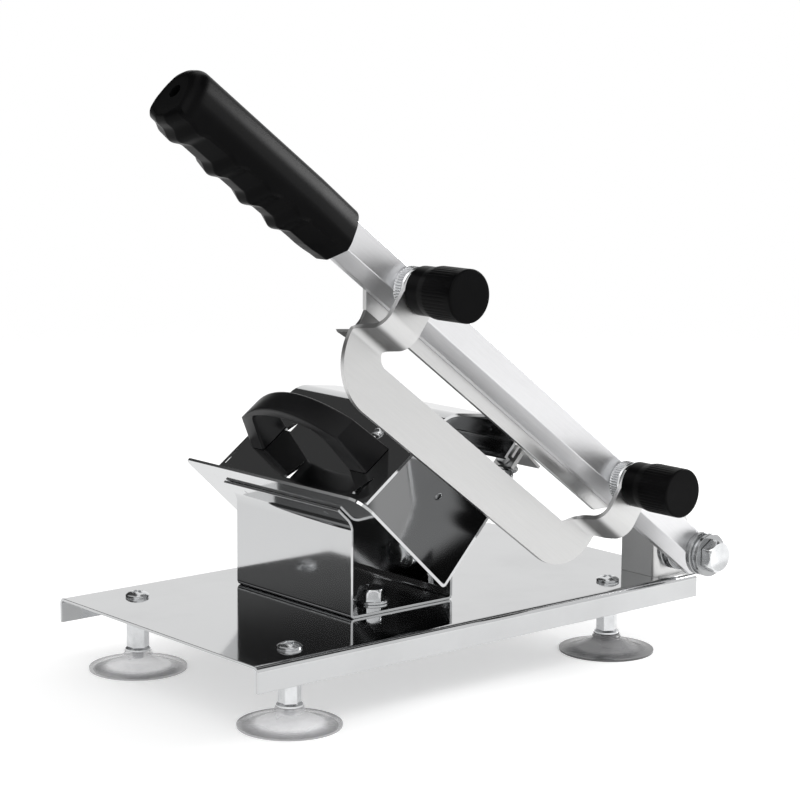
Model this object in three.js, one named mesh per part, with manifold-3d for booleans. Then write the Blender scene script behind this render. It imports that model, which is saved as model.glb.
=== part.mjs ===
// Frozen meat slicer: a lever blade on a sheet-metal stand, with a V trough and a sliding presser.
// Millimetres, +Z up. X runs along the near long edge of the stand and Y away from that edge.
// The stand's top face is at Z = 0 until the whole is set down on its suction cups.

import * as THREE from 'three';
import { mergeVertices } from 'three/addons/utils/BufferGeometryUtils.js';
import Module from 'manifold-3d';

const wasm = await Module();
wasm.setup();

// Stand
const BASE_LENGTH = 300;
const BASE_WIDTH = 170;
const BASE_FLANGE = 13;
const BASE_BEND = 1.5;
const STAND_HEIGHT = 38;

// Sheet stock and its usual inside bend
const SHEET = 1.5;
const BEND = 1;

// Feet
const FOOT_INSET_LEFT = 32.5;
const FOOT_INSET_RIGHT = 51.5;
const FOOT_INSET_NEAR = 18;
const FOOT_INSET_FAR = 23;
const LEG_ACROSS_FLATS = 10;
const LEG_SEAT = -28.4;
const LEG_FLANGE_RADIUS = 6.6;
const LEG_FLANGE_HEIGHT = 1.8;
const PEG_RADIUS = 2.6;
const PEG_END = -32.4;
const CUP_RADIUS = 25.5;
const CUP_NECK_RADIUS = 7.6;
const CUP_NECK_BOTTOM = -31;
const CUP_LIP = 1;
const CUP_RIM = 3.4;
const CUP_WALL = 2;

// Screws: head radius, head height, shank radius, shank depth, recess span, recess width, recess depth
const FOOT_SCREW = { head: 6.1, rise: 3.1, shank: 2.4, depth: 14, span: 6.4, slit: 1.4, recess: 1.6 };
const PLATE_SCREW = { head: 3.9, rise: 2.2, shank: 1.9, depth: 6.5, span: 4, slit: 0.9, recess: 1.1 };

// Trough and the bracket that carries it
const TROUGH_NEAR = 13.5;
const TROUGH_LENGTH = 146.5;
const TROUGH_FOOT_X = 126.4;
const TROUGH_FOOT_Z = 16.9;
const TROUGH_WALL = 72;
const TROUGH_LEFT_ANGLE = THREE.MathUtils.degToRad(136.9);
const TROUGH_CORNER = 9;
const BRACKET_NEAR = 40.5;
const BRACKET_LENGTH = 95.5;
const BRACKET_LEFT = 88.5;
const BRACKET_WIDTH = 63;
const BRACKET_FLANGE = 12;
const RIVET_INSET = 14;
const RIVET_UP_FLANGE = 6.5;
const RIVET_HEAD_RADIUS = 3.2;
const RIVET_HEAD_HEIGHT = 1.1;
const RIVET_SHANK_RADIUS = 1.6;

// Bracket bolts, with the washer face forged on
const BRACKET_BOLT_ACROSS = 28.5;
const BRACKET_BOLT_NEAR_INSET = 18.5;
const BRACKET_BOLT_FAR_INSET = 18;
const BRACKET_BOLT_FLATS = 13;
const BRACKET_BOLT_HEAD = 5.6;
const BRACKET_BOLT_FACE_RADIUS = 9.4;
const BRACKET_BOLT_FACE = 1.6;
const BRACKET_BOLT_SHANK = 3.9;
const BRACKET_BOLT_END = -10.5;
const BRACKET_NUT_HEIGHT = 6;

// Presser
const PRESSER_NEAR = TROUGH_NEAR;
const PRESSER_START_X = 75.6;
const PRESSER_START_Z = 67.2;
const PRESSER_LENGTH = 121.5;
const PRESSER_ANGLE = THREE.MathUtils.degToRad(35.7);
const PRESSER_LEG = 49;
const PRESSER_RIDGE = 31;
const PRESSER_RIGHT_LEG = 15.5;
const PRESSER_LIP = 10.2;
const TOOTH_LENGTH = 13;
const TOOTH_WIDTH = 5.5;
const TOOTH_ROW_ONE = 2;
const TOOTH_ROW_TWO = 31.5;
const TOOTH_FIRST = 8;
const TOOTH_PITCH = 54.5;
const TOOTH_MIDDLE = 92.5;

// Arch handle on the presser's left slope
const HANDLE_MIDDLE = 62.5;
const HANDLE_HALF_SPAN = 47.5;
const HANDLE_HEIGHT = 32;
const HANDLE_THICKNESS = 6.2;
const HANDLE_CURVE = 2.3;
const HANDLE_START = 14.8;
const HANDLE_FOOT_WIDTH = 18.9;
const HANDLE_TAPER = 2.4;
const HANDLE_TAPER_HEIGHT = 13;
const HANDLE_STEPS = 28;
const HANDLE_FOOT_BLOCK = 3;
const HANDLE_SCREW_DEPTH = 9;
const HANDLE_SCREW_RADIUS = 1.7;
const HANDLE_SCREW_HEAD = 3.4;
const HANDLE_SCREW_RISE = 1.6;
const DOME_ALONG = 43.4;
const DOME_ACROSS = 37;
const DOME_RADIUS = 3.6;
const DOME_RISE = 2.2;
const DOME_SHANK = 1.7;

// Guide shoe over the trough's right wall
const SHOE_LENGTH = 22;
const SHOE_TOP = 82;
const SHOE_FOOT = 75;
const SHOE_OUTSIDE = -11.7;
const SHOE_CORNER = 4;
const LUG_THICKNESS = 2.4;
const LUG_FOOT = 72.6;
const LUG_INSET = 4;
const LUG_WIDTH = 14;
const SHOE_BOLT_LEVEL = 76.4;
const SHOE_BOLT_RADIUS = 2;
const SHOE_BOLT_FLATS = 6.6;
const SHOE_BOLT_HEAD = 2.8;
const SHOE_NUT_HEIGHT = 3.2;
const SHOE_BOLT_END = -8.2;

// Pivot upright
const UPRIGHT_INSET = 26.3;
const UPRIGHT_X = BASE_LENGTH - UPRIGHT_INSET;
const UPRIGHT_NEAR = 6.5;
const UPRIGHT_WIDTH = 24.6;
const UPRIGHT_DEPTH = 25.5;
const UPRIGHT_HEIGHT = 34;
const UPRIGHT_SHEET = 2.5;
const UPRIGHT_CORNER = 7;
const UPRIGHT_SCREW_Y = 24;
const UPRIGHT_SCREW_INSET = 5.8;
const UPRIGHT_SCREW_PITCH = 11;

// Pivot
const PIVOT_INSET = 13.9;
const PIVOT_X = BASE_LENGTH - PIVOT_INSET;
const PIVOT_Z = 15.8;
const PIVOT_RADIUS = 5;
const PIVOT_END = 17.5;
const PIVOT_HEAD_FACE = -28;
const PIVOT_FLATS = 15.5;
const PIVOT_NUT_HEIGHT = 6.5;
const WASHER_RADIUS = 11.5;
const SPRING_RADIUS = 10;
const FLANGE_FACE = -22;
const FLAT_FACE = -19.4;
const SPRING_FACE = -16.6;
const REAR_FIRST = 1.6;
const REAR_SECOND = 4;

// Lever, in its own frame: the pivot at the origin and the grip towards -X
const LEVER_ANGLE = THREE.MathUtils.degToRad(36.6);
const BAR_NEAR = -13.5;
const BAR_FAR = -1;
const BAR_TOP = 9.1;
const BAR_BOTTOM = -9.7;
const BAR_BEVEL_TOP = -4.9;
const BAR_BEVEL_END = -5;
const BAR_ROUND = 0.8;
const BAR_TAIL = 10;
const BAR_TIP = -396;

// Grip
const GRIP_START = 306;
const GRIP_END = 420;
const GRIP_NEAR = -21.5;
const GRIP_FAR = 7;
const GRIP_TOP = 14.4;
const GRIP_BOTTOM = -16;
const GRIP_VALLEY = -17;
const GRIP_ROUND = 5;
const GRIP_TIP_CORNER = 8;
const GRIP_BUMPS = [338.5, 359.5, 381.5, 407];
const GRIP_BUMP_RADIUS = 9;
const GRIP_BUMP_PEAK = -19.3;
const GRIP_HOLE_RADIUS = 3;
const GRIP_HOLE_DEPTH = 14;
const GRIP_HOLE_Y = -8;
const GRIP_HOLE_V = -2;

// Guard strip behind the bar
const GUARD_SHEET = 2.5;
const GUARD_LOW = -16.5;
const GUARD_HIGH = 6;
const GUARD_START = 73;
const GUARD_END = 266;
const WING_ROOT = 232;
const WING_TIP = 275;
const WING_LOW = -33;

// Blade, knobs and collars on the lever
const STUD_UPPER = 259;
const STUD_LOWER = 76.5;
const STUD_V = 1;
const STUD_RADIUS = 4;
const STUD_END = -45;
const STUD_HEAD_FLATS = 12;
const STUD_HEAD_END = 6;
const COLLAR_RADIUS = 10.8;
const COLLAR_EDGE = 0.7;
const EAR_BACK = -20.5;
const BLADE_SHEET = 2.5;
const BAND_BACK = -3.7;
const BAND_TOP = -25.5;
const EAR_FOOT = -23.2;
const BLADE_EDGE = -57.8;
const BLADE_INNER = -34.5;
const BLADE_UPPER = 271.3;
const BLADE_LOWER = 70.4;
const BLADE_SHOULDER = -28.5;
const EAR_SHOULDER = -24.8;
const EAR_UPPER = 268.5;
const EAR_UPPER_INNER = 248;
const EAR_LOWER = 64.5;
const EAR_LOWER_INNER = 85;
const EAR_TOP = 4;
const WINDOW_UPPER = 249.8;
const WINDOW_LOWER = 93.6;
const UPPER_ROUND = 29;
const LOWER_ROUND = 27.3;
const WINDOW_ROUND = 6.5;
const EAR_ROUND = 2.5;
const BLADE_BEND = 2;
const SLOT_RADIUS = 4.3;
const EDGE_BEVEL = 3;
const KNOB_RADIUS = 12.5;
const KNOB_NECK_RADIUS = 11.6;
const KNOB_NECK = 6;
const KNOB_FACE = -55.5;
const KNOB_ROUND = 2;

// Clearances, cutting overruns and steps round an arc
const GAP = 0.3;
const OVERRUN = 1;
const ARC_STEPS = 5;
const CORNER_STEPS = 3;
const ROUND_SIDES = 28;
const SMALL_SIDES = 16;
const HEX = 6;

// Turns a closed three.js geometry into a solid that can be cut and joined
function solidOf(geometry) {
  const bare = geometry.clone();
  bare.deleteAttribute('normal');
  bare.deleteAttribute('uv');
  const welded = mergeVertices(bare);
  return new wasm.Manifold(new wasm.Mesh({
    numProp: 3,
    vertProperties: new Float32Array(welded.attributes.position.array),
    triVerts: new Uint32Array(welded.index.array),
  }));
}

function geometryOf(solid) {
  const mesh = solid.getMesh();
  const geometry = new THREE.BufferGeometry();
  geometry.setAttribute('position', new THREE.BufferAttribute(new Float32Array(mesh.vertProperties), 3));
  geometry.setIndex(new THREE.BufferAttribute(new Uint32Array(mesh.triVerts), 1));
  geometry.computeVertexNormals();
  return geometry;
}

function cut(body, tools) {
  return geometryOf(tools.reduce((solid, tool) => solid.subtract(solidOf(tool)), solidOf(body)));
}

function join(bodies) {
  return geometryOf(bodies.slice(1).reduce((solid, body) => solid.add(solidOf(body)), solidOf(bodies[0])));
}

function overlap(first, second) {
  return geometryOf(solidOf(first).intersect(solidOf(second)));
}

// A closed outline through corners [x, y, radius], with each corner rounded by an arc
function roundedShape(corners) {
  const shape = new THREE.Shape();
  corners.forEach(([x, y, radius = 0], index) => {
    const corner = new THREE.Vector2(x, y);
    const [previous, next] = [corners.at(index - 1), corners[(index + 1) % corners.length]];
    const before = new THREE.Vector2(previous[0], previous[1]).sub(corner).normalize();
    const after = new THREE.Vector2(next[0], next[1]).sub(corner).normalize();
    const draw = (point) => (index === 0 ? shape.moveTo(point.x, point.y) : shape.lineTo(point.x, point.y));
    if (radius === 0) {
      draw(corner);
      return;
    }
    const half = Math.acos(THREE.MathUtils.clamp(before.dot(after), -1, 1)) / 2;
    const middle = before.clone().add(after).normalize();
    const centre = corner.clone().addScaledVector(middle, radius / Math.sin(half));
    const start = corner.clone().addScaledVector(before, radius / Math.tan(half));
    const end = corner.clone().addScaledVector(after, radius / Math.tan(half));
    draw(start);
    const from = start.clone().sub(centre).angle();
    const to = end.clone().sub(centre).angle();
    shape.absarc(centre.x, centre.y, radius, from, to, before.cross(after) > 0);
  });
  shape.closePath();
  return shape;
}

// The section of a sheet folded along points [x, y, inside bend], thick to the left of its travel
function foldedShape(points, thickness, usualBend) {
  const line = points.map(([x, y]) => new THREE.Vector2(x, y));
  const normals = line.slice(1).map((point, index) => {
    const along = point.clone().sub(line[index]).normalize();
    return new THREE.Vector2(-along.y, along.x);
  });
  const face = [];
  const back = [];
  line.forEach((point, index) => {
    const first = normals[Math.max(index - 1, 0)];
    const second = normals[Math.min(index, normals.length - 1)];
    const mitre = first.clone().add(second).normalize();
    const inner = points[index][2] ?? usualBend;
    const atEnd = index === 0 || index === line.length - 1;
    const [faceRound, backRound] = first.cross(second) > 0 ? [inner + thickness, inner] : [inner, inner + thickness];
    const offset = point.clone().addScaledVector(mitre, thickness / mitre.dot(first));
    face.push([point.x, point.y, atEnd ? 0 : faceRound]);
    back.unshift([offset.x, offset.y, atEnd ? 0 : backRound]);
  });
  return roundedShape([...face, ...back]);
}

function extrude(shape, depth, steps) {
  return new THREE.ExtrudeGeometry(shape, { depth, bevelEnabled: false, curveSegments: steps });
}

// Pushes an outline drawn in X and Z along Y
function alongY(shape, near, far, steps = ARC_STEPS) {
  return extrude(shape, far - near, steps).rotateX(Math.PI / 2).translate(0, far, 0);
}

// Pushes an outline drawn in Y and Z along X
function alongX(shape, left, right, steps = ARC_STEPS) {
  return extrude(shape, right - left, steps).rotateX(Math.PI / 2).rotateZ(Math.PI / 2).translate(left, 0, 0);
}

function box(low, high) {
  const size = high.map((value, axis) => value - low[axis]);
  const middle = high.map((value, axis) => (value + low[axis]) / 2);
  return new THREE.BoxGeometry(...size).translate(...middle);
}

// Rods along Y or Z between two levels, round or with as many sides as given
function rodY(x, z, radius, near, far, sides = ROUND_SIDES) {
  return new THREE.CylinderGeometry(radius, radius, far - near, sides).translate(x, (near + far) / 2, z);
}

function rodZ(x, y, radius, low, high, sides = ROUND_SIDES) {
  const rod = new THREE.CylinderGeometry(radius, radius, high - low, sides).rotateX(Math.PI / 2);
  return rod.translate(x, y, (low + high) / 2);
}

function acrossCorners(acrossFlats) {
  return acrossFlats / Math.sqrt(3);
}

// A turned piece about Z, from [radius, level] pairs that start and end on the axis, bottom first
function turned(profile, sides = ROUND_SIDES) {
  const points = profile.map(([radius, level]) => new THREE.Vector2(radius, level));
  return new THREE.LatheGeometry(points, sides).rotateX(Math.PI / 2);
}

// A washer about the Y axis through the origin
function washer(radius, hole, near, far) {
  return cut(rodY(0, 0, radius, near, far), [rodY(0, 0, hole, near - OVERRUN, far + OVERRUN)]);
}

// Joins parts of one drawing that stand on the same axis, then drills them
function drilled(bodies, drills) {
  return cut(join(bodies), drills);
}

// The waste at a sheet's corner: a square less a quarter disc, in X and Y, tall along Z
function cornerWaste(radius) {
  const shape = new THREE.Shape();
  shape.moveTo(-OVERRUN, -OVERRUN);
  shape.lineTo(radius, -OVERRUN);
  shape.lineTo(radius, 0);
  shape.absarc(radius, radius, radius, -Math.PI / 2, -Math.PI, true);
  shape.lineTo(-OVERRUN, radius);
  shape.closePath();
  const height = SHEET + OVERRUN * 2;
  return extrude(shape, height, ARC_STEPS).translate(0, 0, -OVERRUN);
}

// Finishes
const MIRROR_STEEL = new THREE.MeshStandardMaterial({ color: 0xb9bbbd, metalness: 1, roughness: 0.08 });
const SATIN_STEEL = new THREE.MeshStandardMaterial({ color: 0xd0d1cf, metalness: 1, roughness: 0.32 });
const ALUMINIUM = new THREE.MeshStandardMaterial({ color: 0xd3d3d4, metalness: 1, roughness: 0.38 });
const ZINC = new THREE.MeshStandardMaterial({ color: 0xb4b7bb, metalness: 1, roughness: 0.25 });
const BLACK_PLASTIC = new THREE.MeshStandardMaterial({ color: 0x18181a, metalness: 0, roughness: 0.42 });
const CLEAR_VINYL = new THREE.MeshStandardMaterial({ color: 0xb0b1b4, metalness: 0, roughness: 0.25 });

function piece(group, name, geometry, material) {
  const mesh = new THREE.Mesh(geometry, material);
  mesh.name = name;
  group.add(mesh);
  return mesh;
}

// A pan-head screw with a cross recess, seated at Z = 0 with its shank down
function panScrew(screw) {
  const body = turned([
    [0, -screw.depth],
    [screw.shank, -screw.depth],
    [screw.shank, 0],
    [screw.head, 0],
    [screw.head, screw.rise * 0.4],
    [screw.head * 0.82, screw.rise * 0.78],
    [screw.head * 0.45, screw.rise * 0.96],
    [0, screw.rise],
  ], SMALL_SIDES);
  const [reach, half] = [screw.span / 2, screw.slit / 2];
  const [floor, top] = [screw.rise - screw.recess, screw.rise + OVERRUN];
  return cut(body, [
    box([-reach, -half, floor], [reach, half, top]),
    box([-half, -reach, floor], [half, reach, top]),
  ]);
}

// A headed pin about Z, seated at Z = 0: a rounded head above and a shank down to a level
function domePin(radius, rise, shank, bottom) {
  return turned([
    [0, bottom],
    [shank, bottom],
    [shank, 0],
    [radius, 0],
    [radius * 0.9, rise * 0.55],
    [radius * 0.5, rise * 0.92],
    [0, rise],
  ], SMALL_SIDES);
}

// Where the four feet stand
function footPlaces() {
  const right = BASE_LENGTH - FOOT_INSET_RIGHT;
  const far = BASE_WIDTH - FOOT_INSET_FAR;
  return [
    [FOOT_INSET_LEFT, FOOT_INSET_NEAR],
    [right, FOOT_INSET_NEAR],
    [FOOT_INSET_LEFT, far],
    [right, far],
  ];
}

function boltPlaces() {
  const x = BRACKET_LEFT + BRACKET_BOLT_ACROSS;
  return [
    [x, BRACKET_NEAR + BRACKET_BOLT_NEAR_INSET],
    [x, BRACKET_NEAR + BRACKET_LENGTH - BRACKET_BOLT_FAR_INSET],
  ];
}

function uprightScrewPlaces() {
  const first = UPRIGHT_X + UPRIGHT_SHEET + UPRIGHT_SCREW_INSET;
  return [
    [first, UPRIGHT_SCREW_Y],
    [first + UPRIGHT_SCREW_PITCH, UPRIGHT_SCREW_Y],
  ];
}

// The pressed stand: a tray turned down along both long edges
function basePlate() {
  const section = foldedShape([
    [SHEET, -BASE_FLANGE],
    [SHEET, -SHEET],
    [BASE_WIDTH - SHEET, -SHEET],
    [BASE_WIDTH - SHEET, -BASE_FLANGE],
  ], SHEET, BASE_BEND);
  const drill = ([x, y], radius) => rodZ(x, y, radius + GAP, -SHEET - OVERRUN, OVERRUN, SMALL_SIDES);
  return cut(alongX(section, 0, BASE_LENGTH), [
    ...footPlaces().map((place) => drill(place, FOOT_SCREW.shank)),
    ...boltPlaces().map((place) => drill(place, BRACKET_BOLT_SHANK)),
    ...uprightScrewPlaces().map((place) => drill(place, PLATE_SCREW.shank)),
  ]);
}

// A hexagonal leg with a flange and a peg at its foot, drilled from above for its screw
function footLeg() {
  return drilled([
    rodZ(0, 0, acrossCorners(LEG_ACROSS_FLATS), LEG_SEAT + LEG_FLANGE_HEIGHT / 2, -SHEET, HEX),
    rodZ(0, 0, LEG_FLANGE_RADIUS, LEG_SEAT, LEG_SEAT + LEG_FLANGE_HEIGHT, SMALL_SIDES),
    rodZ(0, 0, PEG_RADIUS, PEG_END, LEG_SEAT + LEG_FLANGE_HEIGHT / 2, SMALL_SIDES),
  ], [rodZ(0, 0, FOOT_SCREW.shank + GAP, -FOOT_SCREW.depth - OVERRUN, 0, SMALL_SIDES)]);
}

// A suction cup: a neck with a blind socket, a hollow flared skirt and a flat rim to stand on
function suctionCup() {
  const floor = -STAND_HEIGHT;
  const inner = CUP_RADIUS - CUP_RIM;
  const socket = PEG_RADIUS + GAP;
  const bottom = PEG_END - GAP;
  return turned([
    [0, bottom - CUP_WALL],
    [CUP_NECK_RADIUS, bottom - CUP_WALL],
    [inner, floor],
    [CUP_RADIUS, floor],
    [CUP_RADIUS, floor + CUP_LIP],
    [CUP_RADIUS * 0.8, floor + CUP_LIP * 2],
    [CUP_RADIUS * 0.55, floor + CUP_LIP * 3.6],
    [CUP_NECK_RADIUS * 1.2, floor + CUP_LIP * 5.6],
    [CUP_NECK_RADIUS, CUP_NECK_BOTTOM],
    [CUP_NECK_RADIUS, LEG_SEAT - CUP_LIP / 2],
    [CUP_NECK_RADIUS - CUP_LIP / 2, LEG_SEAT],
    [socket, LEG_SEAT],
    [socket, bottom],
    [0, bottom],
  ]);
}

// Directions up the trough's two walls, in X and Z, and the fold they rise from
const leftWay = new THREE.Vector2(Math.cos(TROUGH_LEFT_ANGLE), Math.sin(TROUGH_LEFT_ANGLE));
const rightWay = new THREE.Vector2(leftWay.y, -leftWay.x);
const fold = new THREE.Vector2(TROUGH_FOOT_X, TROUGH_FOOT_Z);

// A place on a wall, by its distance up the wall's outer face and how far inside that face it lies
function onLeft(along, inside) {
  return fold.clone().addScaledVector(leftWay, along).addScaledVector(rightWay, inside).toArray();
}

function onRight(along, inside) {
  return fold.clone().addScaledVector(rightWay, along).addScaledVector(leftWay, inside).toArray();
}

// Lays a piece drawn flat (X up the slope, Y along the trough, Z out of the sheet) onto a slope
function laidOn(geometry, along, out, origin) {
  const basis = new THREE.Matrix4().makeBasis(
    new THREE.Vector3(along.x, 0, along.y),
    new THREE.Vector3(0, 1, 0),
    new THREE.Vector3(out.x, 0, out.y),
  );
  basis.setPosition(origin[0], 0, origin[1]);
  const laid = geometry.clone().applyMatrix4(basis);
  if (basis.determinant() > 0) return laid;
  return geometryOf(solidOf(geometry).transform(basis.elements));
}

// Rounds the two ends of a wall's free edge; the waste is drawn with its corner at the origin
function edgeWaste(along, out, origin, near, far, radius) {
  const [nearWaste, farWaste] = [cornerWaste(radius), cornerWaste(radius)];
  return [
    laidOn(nearWaste.rotateZ(Math.PI / 2).translate(0, near, 0), along, out, origin),
    laidOn(farWaste.rotateZ(Math.PI).translate(0, far, 0), along, out, origin),
  ];
}

// The V trough: two walls at a right angle, their free corners rounded
function trough() {
  const section = foldedShape([
    onLeft(TROUGH_WALL, 0),
    fold.toArray(),
    onRight(TROUGH_WALL, 0),
  ], SHEET, BEND);
  const far = TROUGH_NEAR + TROUGH_LENGTH;
  const drill = rodZ(0, 0, RIVET_SHANK_RADIUS + GAP, -SHEET, SHEET * 2, SMALL_SIDES);
  return cut(alongY(section, TROUGH_NEAR, far), [
    ...edgeWaste(leftWay, rightWay, onLeft(TROUGH_WALL, 0), TROUGH_NEAR, far, TROUGH_CORNER),
    ...edgeWaste(rightWay, leftWay, onRight(TROUGH_WALL, 0), TROUGH_NEAR, far, TROUGH_CORNER),
    ...rivetPlaces().map(({ along, out, origin, y }) => laidOn(drill.clone().translate(0, y, 0), along, out, origin)),
  ]);
}

// Where the bracket's outer faces meet the undersides of its two flanges
function flangeStarts() {
  const under = -(GAP + SHEET);
  const right = BRACKET_LEFT + BRACKET_WIDTH;
  return [
    (BRACKET_LEFT - fold.x - rightWay.x * under) / leftWay.x,
    (right - fold.x - leftWay.x * under) / rightWay.x,
  ];
}

function rivetPlaces() {
  const [leftStart, rightStart] = flangeStarts();
  const rows = [BRACKET_NEAR + RIVET_INSET, BRACKET_NEAR + BRACKET_LENGTH - RIVET_INSET];
  return rows.flatMap((y) => [
    { along: leftWay, out: rightWay, origin: onLeft(leftStart + RIVET_UP_FLANGE, 0), y },
    { along: rightWay, out: leftWay, origin: onRight(rightStart + RIVET_UP_FLANGE, 0), y },
  ]);
}

// The bracket: a channel whose walls turn outwards as flanges under the trough
function trayBracket() {
  const [leftStart, rightStart] = flangeStarts();
  const under = -(GAP + SHEET);
  const right = BRACKET_LEFT + BRACKET_WIDTH;
  const section = foldedShape([
    onLeft(leftStart + BRACKET_FLANGE, under),
    onLeft(leftStart, under),
    [BRACKET_LEFT, 0],
    [right, 0],
    onRight(rightStart, under),
    onRight(rightStart + BRACKET_FLANGE, under),
  ], SHEET, BEND);
  const drill = rodZ(0, 0, RIVET_SHANK_RADIUS + GAP, -SHEET * 3, SHEET, SMALL_SIDES);
  const bolt = ([x, y]) => rodZ(x, y, BRACKET_BOLT_SHANK + GAP, -OVERRUN, SHEET + OVERRUN, SMALL_SIDES);
  return cut(alongY(section, BRACKET_NEAR, BRACKET_NEAR + BRACKET_LENGTH), [
    ...rivetPlaces().map(({ along, out, origin, y }) => laidOn(drill.clone().translate(0, y, 0), along, out, origin)),
    ...boltPlaces().map(bolt),
  ]);
}

// A hexagon bolt with a round face under its head, seated at Z = 0
function faceBolt() {
  return join([
    rodZ(0, 0, BRACKET_BOLT_FACE_RADIUS, 0, BRACKET_BOLT_FACE, ROUND_SIDES),
    rodZ(0, 0, acrossCorners(BRACKET_BOLT_FLATS), BRACKET_BOLT_FACE / 2, BRACKET_BOLT_FACE + BRACKET_BOLT_HEAD, HEX),
    rodZ(0, 0, BRACKET_BOLT_SHANK, BRACKET_BOLT_END - SHEET, BRACKET_BOLT_FACE / 2, SMALL_SIDES),
  ]);
}

function faceNut() {
  return cut(
    rodZ(0, 0, acrossCorners(BRACKET_BOLT_FLATS), -BRACKET_NUT_HEIGHT, 0, HEX),
    [rodZ(0, 0, BRACKET_BOLT_SHANK + GAP, -BRACKET_NUT_HEIGHT - OVERRUN, OVERRUN, SMALL_SIDES)],
  );
}

// The presser's left slope: the way up it, the way out of it and the place where it starts
const slopeWay = new THREE.Vector2(Math.cos(PRESSER_ANGLE), Math.sin(PRESSER_ANGLE));
const slopeOut = new THREE.Vector2(-slopeWay.y, slopeWay.x);
const slopeStart = new THREE.Vector2(PRESSER_START_X, PRESSER_START_Z);

// The far end of the presser's right leg, where its lip begins
function lipStart() {
  const ridge = slopeStart.clone().addScaledVector(slopeWay, PRESSER_LEG + PRESSER_RIDGE);
  return ridge.addScaledVector(slopeOut, -(PRESSER_RIDGE + PRESSER_RIGHT_LEG));
}

// A pressed tooth: its three-cornered opening and the tongue folded inwards beside it
function tooth(start, y) {
  const opening = new THREE.Shape();
  opening.moveTo(start, y);
  opening.lineTo(start + TOOTH_LENGTH, y);
  opening.lineTo(start, y + TOOTH_WIDTH);
  opening.closePath();
  const tongue = roundedShape([
    [start, -SHEET / 2],
    [start, -SHEET - TOOTH_WIDTH],
    [start + TOOTH_LENGTH, -SHEET / 2],
  ]);
  const tall = SHEET + OVERRUN * 2;
  return {
    opening: extrude(opening, tall, 1).translate(0, 0, -SHEET - OVERRUN),
    tongue: alongY(tongue, y - SHEET, y),
  };
}

function teeth() {
  const rowOne = [0, 1, 2].map((step) => tooth(TOOTH_ROW_ONE, PRESSER_NEAR + TOOTH_FIRST + TOOTH_PITCH * step));
  return [...rowOne, tooth(TOOTH_ROW_TWO, PRESSER_NEAR + TOOTH_MIDDLE)];
}

// The arch handle's screws stand under the middle of its two feet
function handleScrewPlaces() {
  const inset = HANDLE_HALF_SPAN - HANDLE_THICKNESS / 2;
  const along = HANDLE_START + HANDLE_FOOT_WIDTH / 2;
  return [
    [along, PRESSER_NEAR + HANDLE_MIDDLE - inset],
    [along, PRESSER_NEAR + HANDLE_MIDDLE + inset],
  ];
}

// The presser: a sheet bent over a broad ridge, with pressed teeth and a turned-up lip
function presserSheet() {
  const lip = lipStart();
  const ridge = slopeStart.clone().addScaledVector(slopeWay, PRESSER_LEG + PRESSER_RIDGE);
  const section = foldedShape([
    lip.clone().addScaledVector(rightWay, PRESSER_LIP).toArray(),
    lip.toArray(),
    [...ridge.toArray(), PRESSER_RIDGE - SHEET],
    slopeStart.toArray(),
  ], SHEET, BEND);
  const onSlope = (geometry) => laidOn(geometry, slopeWay, slopeOut, slopeStart.toArray());
  const pressed = teeth();
  const sheet = join([
    alongY(section, PRESSER_NEAR, PRESSER_NEAR + PRESSER_LENGTH, ARC_STEPS * 2),
    ...pressed.map(({ tongue }) => onSlope(tongue)),
  ]);
  const drill = (x, y, radius) => onSlope(rodZ(x, y, radius + GAP, -SHEET * 2, SHEET, SMALL_SIDES));
  return cut(sheet, [
    ...pressed.map(({ opening }) => onSlope(opening)),
    ...handleScrewPlaces().map(([x, y]) => drill(x, y, HANDLE_SCREW_RADIUS)),
    drill(DOME_ALONG, PRESSER_NEAR + DOME_ACROSS, DOME_SHANK),
  ]);
}

// The handle's strap is the band between two flattened ovals, tapering upwards from its feet
function archHandle() {
  const height = (share, tall) => tall * (1 - Math.abs(share) ** HANDLE_CURVE) ** (1 / HANDLE_CURVE);
  const arch = (halfSpan, tall) => Array.from({ length: HANDLE_STEPS + 1 }, (_, step) => {
    const share = -Math.cos((Math.PI * step) / HANDLE_STEPS);
    return [PRESSER_NEAR + HANDLE_MIDDLE + halfSpan * share, height(share, tall) + GAP];
  });
  const outer = arch(HANDLE_HALF_SPAN, HANDLE_HEIGHT);
  const inner = arch(HANDLE_HALF_SPAN - HANDLE_THICKNESS, HANDLE_HEIGHT - HANDLE_THICKNESS);
  const foot = inner[0][1];
  const band = roundedShape([...outer, ...inner.reverse()]);
  const [start, end] = [HANDLE_START, HANDLE_START + HANDLE_FOOT_WIDTH];
  const top = HANDLE_HEIGHT + OVERRUN;
  const side = roundedShape([
    [start, foot - OVERRUN],
    [end, foot - OVERRUN],
    [end, foot + HANDLE_FOOT_BLOCK],
    [end - HANDLE_TAPER, HANDLE_TAPER_HEIGHT, HANDLE_TAPER],
    [end - HANDLE_TAPER, top],
    [start + HANDLE_TAPER, top],
    [start + HANDLE_TAPER, HANDLE_TAPER_HEIGHT, HANDLE_TAPER],
    [start, foot + HANDLE_FOOT_BLOCK],
  ]);
  const reach = HANDLE_HALF_SPAN + OVERRUN;
  const middle = PRESSER_NEAR + HANDLE_MIDDLE;
  const strap = overlap(alongX(band, start, end), alongY(side, middle - reach, middle + reach));
  const drills = handleScrewPlaces().map(([x, y]) => (
    rodZ(x, y, HANDLE_SCREW_RADIUS + GAP, -OVERRUN, HANDLE_SCREW_DEPTH - SHEET + OVERRUN, SMALL_SIDES)
  ));
  return cut(strap, drills);
}

// Where the shoe's bolt crosses above the wall
function shoeMiddle() {
  return PRESSER_NEAR + LUG_INSET + LUG_WIDTH / 2;
}

// How far inside the wall's outer face the lip's own outer face lies
function lipInside() {
  return lipStart().sub(fold).dot(leftWay) - SHEET;
}

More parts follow.
